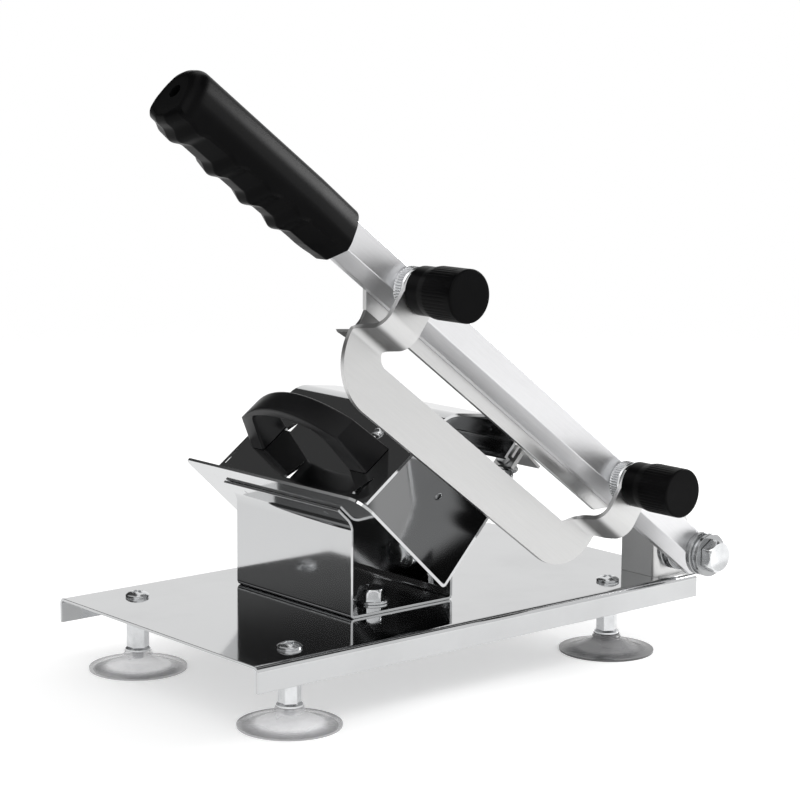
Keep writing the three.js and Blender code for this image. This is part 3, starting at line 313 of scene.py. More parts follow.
def rounded_rings(corners, radii, steps=5):
    """Rings (R, K * (steps + 1), 2) from polygons (R, K, 2), each corner eased into a quadratic curve
    that starts and ends at its radius's reach, or at 0.45 of the side where that is shorter."""
    before, after = np.roll(corners, 1, 1) - corners, np.roll(corners, -1, 1) - corners
    long_before = np.linalg.norm(before, axis=-1, keepdims=True)
    long_after = np.linalg.norm(after, axis=-1, keepdims=True)
    cosine = (before * after).sum(-1, keepdims=True) / (long_before * long_after)
    reach = np.asarray(radii, float).reshape(1, -1, 1) * np.sqrt((1 + cosine) / np.maximum(1 - cosine, 1e-6))
    reach = np.minimum(reach, 0.45 * np.minimum(long_before, long_after))
    start, end = corners + before / long_before * reach, corners + after / long_after * reach
    t = np.linspace(0, 1, steps + 1)[:, None]
    start, here, end = start[:, :, None], corners[:, :, None], end[:, :, None]
    bent = (1 - t) ** 2 * start + 2 * t * (1 - t) * here + t ** 2 * end
    return bent.reshape(len(corners), -1, 2)


def ease_edges(piece, width):
    """Rounds a piece's edges that turn by more than 40 degrees, by a width in millimetres."""
    edge = piece.modifiers.new("eased_edges", "BEVEL")
    edge.width = width * MM
    edge.segments = 2
    edge.limit_method = "ANGLE"
    edge.angle_limit = math.radians(40)
    edge.harden_normals = True


def put(name, points, faces, rides, finish, stands_for=(), sharp=32.0, bevel=0.0):
    """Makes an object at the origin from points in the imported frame, in millimetres. Doubles are
    merged, flat slivers removed and the faces turned outwards."""
    merge, sliver = 2e-6, 1e-6
    mesh = bpy.data.meshes.new(name)
    mesh.from_pydata((np.asarray(points).reshape(-1, 3) * MM).tolist(), [], faces)
    work = bmesh.new()
    work.from_mesh(mesh)
    bmesh.ops.remove_doubles(work, verts=work.verts, dist=merge)
    bmesh.ops.dissolve_degenerate(work, edges=work.edges, dist=sliver)
    bmesh.ops.recalc_face_normals(work, faces=work.faces)
    work.to_mesh(mesh)
    work.free()
    mesh.polygons.foreach_set("use_smooth", np.ones(len(mesh.polygons), bool))
    mesh.set_sharp_from_angle(angle=math.radians(sharp))
    mesh.materials.append(finish_named(finish))
    piece = bpy.data.objects.new(name, mesh)
    bpy.context.scene.collection.objects.link(piece)
    if bevel:
        ease_edges(piece, bevel)
    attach(piece, rides)
    if stands_for:
        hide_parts(*stands_for)


def finish_node(node, finish, bevel):
    """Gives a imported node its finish, and eases its edges."""
    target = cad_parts[node]
    target.data.materials.clear()
    target.data.materials.append(finish_named(finish))
    ease_edges(target, bevel)


# Finishes: shader nodes written as sums

class Wire:
    """A socket of a material's node tree, with arithmetic that adds Math nodes."""

    def __init__(self, tree, socket):
        self.tree, self.socket = tree, socket

    def _math(self, operation, *values):
        node = self.tree.nodes.new("ShaderNodeMath")
        node.operation = operation
        for place, value in zip(node.inputs, values):
            feed(self.tree, place, value)
        return Wire(self.tree, node.outputs[0])

    def __add__(self, other):
        return self._math("ADD", self, other)

    def __sub__(self, other):
        return self._math("SUBTRACT", self, other)

    def __rsub__(self, other):
        return self._math("SUBTRACT", other, self)

    def __mul__(self, other):
        return self._math("MULTIPLY", self, other)

    __radd__ = __add__
    __rmul__ = __mul__

    def at_most(self, limit):
        return self._math("MINIMUM", self, limit)

    def step(self, low, high):
        """0 below low, 1 above high, smooth between."""
        node = self.tree.nodes.new("ShaderNodeMapRange")
        node.interpolation_type = "SMOOTHSTEP"
        for name, value in (("Value", self), ("From Min", low), ("From Max", high)):
            feed(self.tree, node.inputs[name], value)
        return Wire(self.tree, node.outputs[0])


def feed(tree, place, value):
    """Links a wire to a socket, or sets the socket to a plain value."""
    if isinstance(value, Wire):
        tree.links.new(value.socket, place)
    else:
        place.default_value = value


class Finish:
    """A material with one Principled shader, and the few node makers that the finishes use."""

    def __init__(self, name, **settings):
        self.material = bpy.data.materials.new(name)
        self.material.use_nodes = True
        self.tree = self.material.node_tree
        self.shader = self.tree.nodes["Principled BSDF"]
        self.set(**settings)

    def set(self, **settings):
        for name, value in settings.items():
            socket = self.shader.inputs[name.replace("_", " ").title().replace("Ior", "IOR")]
            if not isinstance(value, Wire) and hasattr(value, "__len__") and len(value) == 3:
                value = (*value, 1.0)
            feed(self.tree, socket, value)

    def node(self, kind, settings=None, output=0, **values):
        """Any node, from its type, its settings and the values or wires of its sockets."""
        node = self.tree.nodes.new("ShaderNode" + kind)
        for name, value in (settings or {}).items():
            setattr(node, name, value)
        for name, value in values.items():
            feed(self.tree, node.inputs[name.replace("_", " ")], value)
        return Wire(self.tree, node.outputs[output])

    def place(self, scale=(1.0, 1.0, 1.0), turn=(0.0, 0.0, 0.0)):
        """Object coordinates, turned and then stretched."""
        place = self.node("TexCoord", output=3)
        turned_place = self.node("Mapping", {"vector_type": "TEXTURE"}, Vector=place, Rotation=turn)
        return self.node("Mapping", Vector=turned_place, Scale=scale)

    def noise(self, scale, detail=3.0, roughness=0.5, stretch=(1.0, 1.0, 1.0), turn=(0.0, 0.0, 0.0)):
        return self.node("TexNoise", Vector=self.place(stretch, turn), Scale=scale, Detail=detail,
                         Roughness=roughness)

    def mix(self, amount, first, second):
        """A colour between two, by a wire from 0 to 1."""
        node = self.tree.nodes.new("ShaderNodeMix")
        node.data_type = "RGBA"
        feed(self.tree, node.inputs[0], amount)
        for place, value in ((node.inputs[6], first), (node.inputs[7], second)):
            feed(self.tree, place, value if isinstance(value, Wire) else (*value, 1.0))
        return Wire(self.tree, node.outputs[2])

    def bump(self, height, distance, strength=1.0):
        bump = self.node("Bump", Height=height, Distance=distance * MM, Strength=strength)
        feed(self.tree, self.shader.inputs["Normal"], bump)


def shade(values, factor):
    return tuple(min(1.0, value * factor) for value in values)


def polished_steel(name, tint, roughness):
    """Mirror-polished sheet: a faint rolled waviness, hairlines from wiping and a few matt smudges."""
    finish = Finish(name, metallic=1.0)
    smudge = finish.noise(14.0, 4.0, 0.6).step(0.45, 0.75)
    hairline = finish.noise(160.0, 2.0, 0.7, stretch=(1.0, 14.0, 1.0)).step(0.5, 0.8)
    finish.set(base_color=finish.mix(smudge, tint, shade(tint, 0.93)),
               roughness=smudge * 0.035 + hairline * 0.03 + roughness)
    finish.bump(finish.noise(9.0, 1.0, 0.3), 0.02, 0.25)
    return finish.material


def brushed_steel(name, tint, roughness, turn=(0.0, 0.0, 0.0), painted_shade_mask=None):
    """Satin metal: long fine brush lines along one direction over a soft uneven sheen. The optional last
    argument, a function of the finish, gives where painted shade darkens the colour and makes the metal
    rougher, from 0 to 1."""
    finish = Finish(name, metallic=1.0)
    lines = finish.noise(55.0, 5.0, 0.65, stretch=(1.0, 30.0, 30.0), turn=turn)
    cloud = finish.noise(11.0, 3.0, 0.5)
    streaks = finish.mix(lines.step(0.3, 0.75), shade(tint, 0.965), shade(tint, 1.02))
    rough = lines * 0.14 + cloud * 0.06 + (roughness - 0.09)
    # painted shade: the colour falls to 0.36 of the tint where the mask is on
    if painted_shade_mask:
        amount = painted_shade_mask(finish)
        streaks = finish.mix(amount, streaks, shade(tint, 0.36))
        rough = rough + amount * 0.3
    finish.set(base_color=streaks, roughness=rough)
    finish.bump(lines, 0.012, 0.35)
    return finish.material


def bright_zinc(name, tint):
    """Plated steel: bright, with a slight blue clouding and small marks."""
    finish = Finish(name, metallic=1.0)
    cloud = finish.noise(120.0, 3.0, 0.6)
    marks = finish.noise(700.0, 2.0, 0.6).step(0.62, 0.75)
    finish.set(base_color=finish.mix(cloud.step(0.35, 0.7), tint, shade(tint, 0.86)),
               roughness=cloud * 0.12 + marks * 0.12 + 0.14)
    finish.bump(finish.noise(420.0, 2.0, 0.5), 0.02, 0.3)
    return finish.material


def moulded_black(name, tint, roughness, grain=1.0, level=0.045):
    """Black plastic: a fine spark-eroded grain, slight wear that lifts the colour and the gloss."""
    finish = Finish(name, metallic=0.0, specular_ior_level=level)
    wear = finish.noise(24.0, 4.0, 0.6).step(0.4, 0.8)
    specks = finish.noise(1500.0, 2.0, 0.6)
    finish.set(base_color=finish.mix(wear, tint, tuple(value * 1.3 + 0.0015 for value in tint)),
               roughness=wear * 0.08 + specks * 0.1 + (roughness - 0.09))
    finish.bump(specks, 0.03 * grain, 0.5)
    return finish.material


def clear_vinyl(name, tint, body=0.15):
    """Soft clear vinyl: nearly clear where it is thin, denser and darker along its rim and at its neck,
    with pale flow streaks and a wet gloss."""
    finish = Finish(name, metallic=0.0, ior=1.5)
    height = finish.node("SeparateXYZ", output=2, Vector=finish.node("TexCoord", output=3))
    rim, neck = 1 - height.step(0.0010, 0.0024), height.step(0.0045, 0.0085)
    cloud = finish.noise(60.0, 3.0, 0.5).step(0.35, 0.7)
    dense = finish.mix(cloud, shade(tint, 0.9), shade(tint, 1.3))
    finish.set(base_color=finish.mix(rim * 0.8 + neck * 0.2, dense, shade(tint, 0.3)),
               roughness=cloud * 0.1 + 0.06, alpha=rim * 0.45 + neck * 0.2 + cloud * 0.12 + body)
    finish.bump(finish.noise(35.0, 2.0, 0.4), 0.3, 0.5)
    return finish.material


def fold_painted_shade(finish):
    """Painted shade on the blade's fold: a band darkened between its ears' plane and its band's plane."""
    y = finish.node("SeparateXYZ", output=1, Vector=finish.node("TexCoord", output=3))
    front, back = (STAND_ORIGIN[1] - 18.8) * MM, (STAND_ORIGIN[1] - 7.0) * MM
    return y.step(front - 0.0015, front + 0.002) * (1 - y.step(back - 0.002, back + 0.0015))


FINISHES = {}


def finish_named(name):
    """The object's finishes, made once and shared by all its pieces."""
    if not FINISHES:
        chosen = bpy.context.scene.slicer_finishes
        tilt = (0.0, LEVER_ANGLE, 0.0)
        mirror, satin, black = tuple(chosen.mirror_steel), tuple(chosen.satin_steel), tuple(chosen.black)
        FINISHES.update({
            "mirror_steel": polished_steel("mirror_steel", mirror, chosen.mirror_roughness),
            "satin_steel": brushed_steel("satin_steel", satin, chosen.satin_roughness),
            # the blade's steel carries painted shade on its fold
            "blade_steel": brushed_steel("blade_steel", satin, chosen.satin_roughness, tilt, fold_painted_shade),
            "aluminium": brushed_steel("aluminium", tuple(chosen.aluminium), 0.34, turn=tilt),
            # painted shade: the guard flap's steel, darkened to 0.4 of the satin colour for the shade it lies
            # in
            "painted_dark_steel": brushed_steel("painted_dark_steel", shade(satin, 0.4), 0.4, turn=tilt),
            "zinc": bright_zinc("zinc", tuple(chosen.zinc)),
            # painted shade: a copy of the zinc at half its colour, for washers that lie in shade about the
            # bar
            "painted_dark_zinc": bright_zinc("painted_dark_zinc", shade(tuple(chosen.zinc), 0.5)),
            "grip_black": moulded_black("grip_black", black, 0.36, 0.7),
            "knob_black": moulded_black("knob_black", black, 0.38),
            "handle_black": moulded_black("handle_black", shade(black, 3.0), 0.34, 0.7, 0.2),
            "clear_vinyl": clear_vinyl("clear_vinyl", tuple(chosen.vinyl)),
            "smoky_vinyl": clear_vinyl("smoky_vinyl", shade(tuple(chosen.vinyl), 0.3), 0.5),
        })
    return FINISHES[name]


# Pieces

TROUGH_FOLD = np.array([126.4, 15.1])
LEFT_ANGLE = math.radians(136.9)
LEFT_WAY = np.array([math.cos(LEFT_ANGLE), math.sin(LEFT_ANGLE)])
RIGHT_WAY = np.array([LEFT_WAY[1], -LEFT_WAY[0]])
TROUGH_NEAR, TROUGH_FAR = 13.5, 160.0
BRACKET_LEFT, BRACKET_RIGHT = 88.5, 156.5
BRACKET_NEAR, BRACKET_FAR = 40.5, 136.0
# How far the inner face of the bracket's flanges lies outside the trough's walls, and their bends up them
FLANGE_GAP = SHEET + 0.3
FLANGE_LEFT = (BRACKET_LEFT - TROUGH_FOLD[0] + RIGHT_WAY[0] * FLANGE_GAP) / LEFT_WAY[0]
FLANGE_RIGHT = (BRACKET_RIGHT - TROUGH_FOLD[0] + LEFT_WAY[0] * FLANGE_GAP) / RIGHT_WAY[0]
PRESSER_NEAR, PRESSER_FAR = 13.5, 135.0
SLOPE_START = np.array([75.6, 65.4])
SLOPE_ANGLE = math.radians(36.0)
SLOPE_WAY = np.array([math.cos(SLOPE_ANGLE), math.sin(SLOPE_ANGLE)])
SLOPE_OUT = np.array([-SLOPE_WAY[1], SLOPE_WAY[0]])
# The presser's other corners, from its ridge over its shoulder down to its lip
RIDGE = SLOPE_START + 65.5 * SLOPE_WAY
SHOULDER = RIDGE + 33.1 * np.array([math.cos(math.radians(-6.3)), math.sin(math.radians(-6.3))])
LIP_TOP = SHOULDER + 20.8 * np.array([math.cos(math.radians(-47.3)), math.sin(math.radians(-47.3))])
LIP_FOOT = LIP_TOP - 11.9 * RIGHT_WAY
# Distances of the two studs from the pivot, up the lever
STUDS = {"upper": 259.0, "lower": 76.5}
# Sheet of the blade, the guard and the upright
PLATE = 2.5


def up_left(along, inside):
    """A place on the trough's left wall, by distance up it and depth inside its outer face."""
    return TROUGH_FOLD + along * LEFT_WAY + inside * RIGHT_WAY


def up_right(along, inside):
    return TROUGH_FOLD + along * RIGHT_WAY + inside * LEFT_WAY


def box_middle(node):
    """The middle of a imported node's box in X and Y, in stand coordinates, over the top face."""
    low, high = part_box(node)
    middle = (np.array(low) + np.array(high)) / 2 / MM - STAND_ORIGIN
    return np.array([middle[0], middle[1], 0.0])


def quarter(steps):
    """0 to 1, close together at first: 1 - cos over a quarter of a turn."""
    return 1 - np.cos(np.linspace(0, np.pi / 2, steps))


def on_presser(points):
    """(s up the presser's slope, y from its near end, h out of it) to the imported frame."""
    return on_stand(on_slope(points + [0, PRESSER_NEAR, 0], SLOPE_START, SLOPE_WAY, SLOPE_OUT))


class SLICER_OT_base(bpy.types.Operator):
    """Pressed stand: a tray section carried along X, both long edges turned down"""
    bl_idname = "slicer.base"
    bl_label = "Stand"

    def execute(self, context):
        size = context.scene.slicer_sheets
        near, far, flange = SHEET, size.base_width - SHEET, size.base_flange
        section = folded([[near, -flange], [near, -SHEET], [far, -SHEET], [far, -flange]], SHEET,
                         [size.base_bend] * 2, steps=12)
        points, faces = bent_sheet(section, np.linspace(0, size.base_length, 3)[None])
        put("pressed_stand", on_stand(points[:, [1, 0, 2]]), faces, "stand", "mirror_steel", ["base_plate"],
            bevel=0.25)
        return {"FINISHED"}


class SLICER_OT_trough(bpy.types.Operator):
    """Trough: two walls at a right angle carried along Y, their free corners rounded"""
    bl_idname = "slicer.trough"
    bl_label = "Trough"

    def execute(self, context):
        size = context.scene.slicer_sheets
        near, far = size.near_corner, size.far_corner
        corners = [up_left(size.left_wall, 0), TROUGH_FOLD, up_right(size.right_wall, 0)]
        face, normal = folded(corners, SHEET, [size.bend], steps=8)
        total = run_along(face)[-1]
        edge = np.concatenate([near * quarter(14), far * quarter(14)])
        face, normal, run = stations(face, normal, np.concatenate([edge, total - edge]))
        inward = np.minimum(run, run[-1] - run)
        ends = np.stack([TROUGH_NEAR + corner_gap(inward, near), TROUGH_FAR - corner_gap(inward, far)], -1)
        points, faces = bent_sheet((face, normal), ends)
        put("v_trough", on_stand(points), faces, "stand", "mirror_steel", ["trough"], bevel=0.3)
        return {"FINISHED"}


class SLICER_OT_bracket(bpy.types.Operator):
    """Tray bracket: a channel whose walls turn outwards as flanges under the trough, carried along Y"""
    bl_idname = "slicer.bracket"
    bl_label = "Tray bracket"

    def execute(self, context):
        size = context.scene.slicer_sheets
        flange = 12.0
        corners = [up_left(FLANGE_LEFT + flange, -FLANGE_GAP), up_left(FLANGE_LEFT, -FLANGE_GAP),
                   [BRACKET_LEFT, 0], [BRACKET_RIGHT, 0],
                   up_right(FLANGE_RIGHT, -FLANGE_GAP), up_right(FLANGE_RIGHT + flange, -FLANGE_GAP)]
        bends = [size.bracket_shoulder, size.bend, size.bend, size.bracket_shoulder]
        section = folded(corners, SHEET, bends, steps=10)
        points, faces = bent_sheet(section, [[BRACKET_NEAR, BRACKET_FAR]])
        put("folded_bracket", on_stand(points), faces, "stand", "mirror_steel", ["tray_bracket"], bevel=0.3)
        return {"FINISHED"}


class SLICER_OT_presser(bpy.types.Operator):
    """Presser: a section with two round bends at its top, carried along Y. Each tooth is an opening
    between two lines, one straight and one that runs to meet it: y + w * (1 - (s - start) / length)"""
    bl_idname = "slicer.presser"
    bl_label = "Presser"
    # Each tooth's start up the slope, and its distance from the presser's near end
    teeth = ((3.6, 9.6), (3.6, 64.1), (33.1, 94.1), (3.6, 118.6))

    def execute(self, context):
        size = context.scene.slicer_sheets
        corners = [LIP_FOOT, LIP_TOP, SHOULDER, RIDGE, SLOPE_START]
        face, normal = folded(corners, SHEET, [size.bend, size.ridge, size.ridge], steps=20)
        total = run_along(face)[-1]
        reach, wide = size.tooth_length, size.tooth_width
        starts = np.unique([start for start, _ in self.teeth])
        marks = np.concatenate([np.linspace(start, start + reach, 4) for start in starts])
        face, normal, run = stations(face, normal, total - marks)
        up = run[-1] - run
        middle = (up[1:] + up[:-1]) / 2
        lines, open_cells = [np.full(len(up), PRESSER_NEAR)], []
        for start, y in self.teeth:
            width = wide * np.clip(1 - (up - start) / reach, 0.002, 1)
            lines += [np.full(len(up), PRESSER_NEAR + y), PRESSER_NEAR + y + width]
            open_cells.append((middle > start) & (middle < start + reach))
        lines.append(np.full(len(up), PRESSER_FAR))
        lines = np.minimum(np.stack(lines, -1), PRESSER_FAR)
        filled = np.ones((len(up) - 1, lines.shape[1] - 1), bool)
        for number, opening in enumerate(open_cells):
            filled[opening, 2 * number + 1] = False
        points, faces = bent_sheet((face, normal), lines, filled=filled)
        put("presser_shell", on_stand(points), faces, "presser", "mirror_steel", ["presser_sheet"],
            bevel=0.25)
        for number, (start, y) in enumerate(self.teeth, 1):
            self.tongue(number, start, y, reach, wide)
        return {"FINISHED"}

    def tongue(self, number, start, y, reach, wide):
        """A tooth's tongue, folded straight inwards beside its opening: its depth falls evenly to
        nothing at the opening's point."""
        places, least = 12, 0.05
        s = np.linspace(start, start + reach, places)
        top = np.full(places, -SHEET * 0.5)
        low = -SHEET - wide * (1 - (s - start) / reach) - least
        side = lambda y, h: np.stack([s, np.full(places, y), h], -1)
        face = np.stack([side(y, top), side(y, low)], 1)
        back = np.stack([side(y - SHEET, top), side(y - SHEET, low)], 1)
        points, faces = sheet_body(face, back, np.ones((places - 1, 1), bool))
        put(f"presser_tongue_{number}", on_presser(points), faces, "presser", "mirror_steel", bevel=0.2)


class SLICER_OT_blade(bpy.types.Operator):
    """Blade: one sheet folded twice, so that its ears stand forward of its band. Across the fold's
    path run eight lines in u: the outer edges, the window's sides and the sides of the two slots.
    Round corners are circles: u = centre +- sqrt(r^2 - (v - v0)^2)"""
    bl_idname = "slicer.blade"
    bl_label = "Blade"

    def execute(self, context):
        band, ear = -3.7, -20.5
        low, band_top, ear_foot, ear_top = -57.8, -25.5, -23.2, 4.0
        window_low, window_round, slot_level, slot_radius = -34.5, 7.5, 1.0, 4.3
        path = [[band, low], [band, band_top], [ear, ear_foot], [ear, ear_top]]
        face, normal = folded(path, PLATE, [4.0, 7.0], steps=14)
        deep = low + 29 * quarter(26)
        window = window_low + window_round * quarter(12)
        slot = slot_level - slot_radius * np.cos(np.linspace(0, np.pi / 2, 9))
        top = run_along(face)[-1] - (ear_top - slot)
        face, normal, _ = stations(face, normal, np.concatenate([deep - low, window - low, top]))
        v = face[:, 1]
        u = np.sort(np.stack(self.lines(v, low, window_low, slot_level, slot_radius), -1), axis=1)
        middle = (v[1:] + v[:-1]) / 2
        filled = np.ones((len(v) - 1, 7), bool)
        slot_low = slot_level - slot_radius
        for column, bottom in ((3, window_low), (1, slot_low), (5, slot_low)):
            filled[middle > bottom, column] = False
        y, out = np.repeat(face[:, :1], 8, 1), np.repeat(v[:, None], 8, 1)
        front = np.stack([-u, y, out], -1)
        away = np.repeat((normal * PLATE)[:, None, :], 8, 1)
        back = front + np.stack([np.zeros_like(u), away[..., 0], away[..., 1]], -1)
        points, faces = sheet_body(front, back, filled)
        put("bow_blade", on_lever(points), faces, "lever", "blade_steel", ["blade"], bevel=0.35)
        return {"FINISHED"}

    def lines(self, v, low, window_low, slot_level, slot_radius):
        """The eight lines in u at each v. Below the window and the slots, the lines that bound them
        run as shares of what is between their neighbours."""
        ear_low, ear_high, band_low, band_high = 64.5, 268.5, 70.4, 271.3
        low_round, high_round = 27.3, 29.0
        joint, rise_start, rise_length = -24.8, -28.5, 3.7
        in_ear = v > joint
        rise = np.clip((v - rise_start) / rise_length, 0, 1)
        round_off = lambda r: r - np.sqrt(np.maximum(r ** 2 - np.maximum(low + r - v, 0) ** 2, 0))
        low_side = np.where(in_ear, ear_low, band_low - rise * (band_low - ear_low))
        high_side = np.where(in_ear, ear_high, band_high - rise * (band_high - ear_high))
        outer_low, outer_high = low_side + round_off(low_round), high_side - round_off(high_round)
        side_low = np.interp(v, [window_low, -33.0, -26.0, joint], [94.8, 92.2, 85.7, 85.0])
        curve_top, curve_centre, curve_radius = -28.0, 243.1, 6.5
        bend = np.maximum(curve_top - v, 0)
        curve = curve_centre + np.sqrt(np.maximum(curve_radius ** 2 - bend ** 2, 0))
        side_high = np.where(v > curve_top, np.interp(v, [curve_top, joint], [249.6, 248.0]), curve)
        sliver = 0.003
        round_end = np.sqrt(np.maximum(slot_radius ** 2 - (slot_level - v) ** 2, 0)) + sliver
        half = np.where(v > slot_level, slot_radius, round_end)
        half = np.where(v > slot_level - slot_radius - 0.01, half, sliver)
        low_slot, high_slot = STUDS["lower"], STUDS["upper"]
        lines = [outer_low, low_slot - half, low_slot + half, side_low, side_high, high_slot - half,
                 high_slot + half, outer_high]
        lines[3] = np.where(v < window_low - 0.05, np.maximum(side_low, outer_low + 3), side_low)
        # A line's number, its share of the way between two others, and their numbers
        shares = ((1, 0.45, 0, 3), (2, 0.55, 0, 3), (5, 0.45, 4, 7), (6, 0.55, 4, 7))
        for number, share, before, after in shares:
            between = lines[before] + (lines[after] - lines[before]) * share
            lines[number] = np.where(v < joint - 0.1, between, lines[number])
        return lines


class SLICER_OT_grip(bpy.types.Operator):
    """Grip: rings along the lever, each with a convex crown and sides over two slanted lower faces that
    meet in a keel. Finger bumps push the lower faces out, and the section shrinks towards the end by
    r - sqrt(r^2 - (r - d)^2)"""
    bl_idname = "slicer.grip"
    bl_label = "Grip"
    middle, half_width = -7.25, 14.25
    # Levels along the grip, by distance from the pivot: its crown, the crease of a side, and the keel
    crown_level = ([306, 320, 331, 417], [13.2, 13.5, 13.7, 13.3])
    crease_level = ([306, 334, 360, 382, 407], [-8.2, -11.2, -12.0, -13.0, -13.8])
    keel_level = ([306, 311, 316, 321, 326, 343, 365, 417],
                  [-14.6, -14.9, -15.5, -15.8, -15.7, -16.0, -16.3, -16.1])
    bump_places = (337.8, 357.3, 379.2, 403.6)
    bump_climb, bump_drop = 7.5, 6.0

    def execute(self, context):
        size = context.scene.slicer_grips
        start, end = size.grip_start, size.grip_end
        mouth_round, end_round = 0.9, 10
        run = np.linspace(start + 1, end - end_round, 190)
        u = np.unique(np.concatenate([start + mouth_round * quarter(18), run, end - end_round * quarter(18)]))
        corners = self.corners(u, start, end, mouth_round, size.bump_height)
        radii = [6.0, 20.0, 20.0, 20.0, 0.9, 0.7, 2.6]
        flat = rounded_rings(corners, radii + radii[::-1], 6)
        rings = np.concatenate([self.socket(flat[0], start), at_places(u, flat), self.hole(flat[-1], end)])
        points, faces = tube(rings)
        put("moulded_grip", on_lever(points), faces, "lever", "grip_black", ["grip"], sharp=38)
        return {"FINISHED"}

    def corners(self, u, start, end, mouth_round, bump_height):
        """The section's corners at each u, from the crown down the far side to the keel and mirrored."""
        wave = self.bumps(u)
        mouth = corner_gap(u - start, mouth_round)
        over, inset, under = (corner_gap(end - u + 0.5, radius) + mouth for radius in (8.5, 7.0, 4.5))
        hollow = (1 - wave) * np.clip((u - start - 12) / 14, 0, 1)
        crown = np.interp(u, *self.crown_level) - 1.1 * over
        crease = np.interp(u, *self.crease_level) + 1.5 * hollow + 1.3 * under
        keel = np.interp(u, *self.keel_level) - bump_height * wave + under
        side = self.half_width - inset
        across = [3.0 - inset * 0.3, 8.4 - inset * 0.7, 12.1 - inset * 0.92, side, side, side - 1.4 * hollow,
                  3.9 - 0.5 * wave - inset * 0.2]
        level = [crown, crown - 2.4 + over * 0.1, crown - 9.0 + over * 0.4, crown - 17.5 + over * 0.9,
                 crease + 1.0, crease - 0.5, keel]
        right = np.stack([np.stack(across, -1), np.stack(level, -1)], -1)
        return np.concatenate([right * [-1, 1], right[:, ::-1]], 1) + [self.middle, 0]

    def bumps(self, u):
        """0 in the valleys and 1 on a bump: half of 1 + cos, over a longer way up than down."""
        away = u[None] - np.array(self.bump_places)[:, None]
        swing = np.clip(np.where(away < 0, away / self.bump_climb, away / self.bump_drop), -1, 1)
        return (0.5 + 0.5 * np.cos(np.pi * swing)).max(0)

    def socket(self, ring, start):
        """Rings that turn in from the mouth to a box round the bar and run up inside the grip."""
        centre, reach, deep, rim = np.array([self.middle, -0.3]), np.array([6.45, 9.7]), 12.0, 0.3
        away = ring - centre
        box = centre + away * (reach / np.maximum(np.abs(away), 1e-6)).min(1)[:, None]
        flat = np.array([box, box, box * 0.98 + ring * 0.02])
        return at_places(np.array([start + deep, start + rim, start]), flat)

    def hole(self, ring, end):
        """Rings that close the flat end in to the hanging hole and run down inside it."""
        centre, radius, rim, deep = np.array([-8.0, -1.5]), 3.0, 0.4, 14.0
        away = ring - centre
        circle = centre + away / np.linalg.norm(away, axis=1)[:, None] * radius
        amounts = np.array([0.4, 0.8, 0.97, 1.0, 1.0])[:, None, None]
        flat = ring * (1 - amounts) + circle * amounts
        return at_places(np.array([end, end, end, end - rim, end - deep]), flat)


def at_places(u, flat):
    """Rings (R, K, 2) set at their distances up the lever."""
    return np.concatenate([np.repeat(-u[:, None, None], flat.shape[1], 1), flat], -1)


class SLICER_OT_arch_handle(bpy.types.Operator):
    """Arch handle: a rounded band section carried between an outside line and an inside line. Each
    line rises along a leg to a corner, bows to the next as chord + rise * (1 - (2t - 1)^2), and falls"""
    bl_idname = "slicer.arch_handle"
    bl_label = "Arch handle"

    def execute(self, context):
        size = context.scene.slicer_grips
        crease, taper, edge, low_side, foot_gap = 19.0, 2.4, 1.5, 17.1, 0.3
        outer = self.line([17.2, 0.0], [28.7, crease], [107.2, crease], [110.7, 0.0], size.handle_rise)
        inner = self.line([30.7, 0.0], [41.8, 19.6], [94.8, 22.8], [100.1, 0.0], 3.4, [8.0, 3.5])
        wide = size.handle_width / 2 - taper * np.clip(outer[:, 1] / crease, 0, 1)
        thick = np.linalg.norm(outer - inner, axis=1) / 2
        turn = np.linspace(0, np.pi / 2, 6)
        across = np.concatenate([np.cos(turn), -np.cos(turn)[::-1], -np.cos(turn), np.cos(turn)[::-1]])
        through = np.concatenate([np.sin(turn), np.sin(turn)[::-1], -np.sin(turn), -np.sin(turn)[::-1]])
        s = low_side + size.handle_width / 2 + np.sign(across) * (wide[:, None] - edge) + edge * across
        side = np.sign(through + 1e-9 * (through == 0))
        out = (side * (thick[:, None] - edge) + edge * through) / thick[:, None]
        path = (outer + inner)[:, None] / 2 + (outer - inner)[:, None] / 2 * out[..., None]
        points, faces = tube(np.stack([s, path[..., 0], path[..., 1] + foot_gap], -1))
        put("arch_strap", on_presser(points), faces, "presser", "handle_black", ["arch_handle"], sharp=24)
        return {"FINISHED"}

    def line(self, foot, corner, far_corner, far_foot, rise, radii=()):
        """One line of the handle, up the leg, along the bow and down the far leg. The optional radii
        ease its two corners, by a pull inwards that fades with the distance squared."""
        foot, corner, far_corner, far_foot = np.array([foot, corner, far_corner, far_foot], float)
        t = np.linspace(0, 1, 49)[:, None]
        up = np.linspace(0, 1, 13)[:-1, None]
        bow = corner + (far_corner - corner) * t + np.array([0, rise]) * (1 - (2 * t - 1) ** 2)
        down = far_corner + (far_foot - far_corner) * (1 - up[::-1])
        whole = np.vstack([foot + (corner - foot) * up, bow, down])
        for place, radius in zip((corner, far_corner), radii):
            away = np.linalg.norm(whole - place, axis=1)
            pull = np.clip(1 - away / (radius * 1.1), 0, 1)[:, None] ** 2
            inside = (foot + far_foot + corner + far_corner) / 4 - place
            whole = whole + pull * inside / np.linalg.norm(inside) * radius * 0.32
        return whole


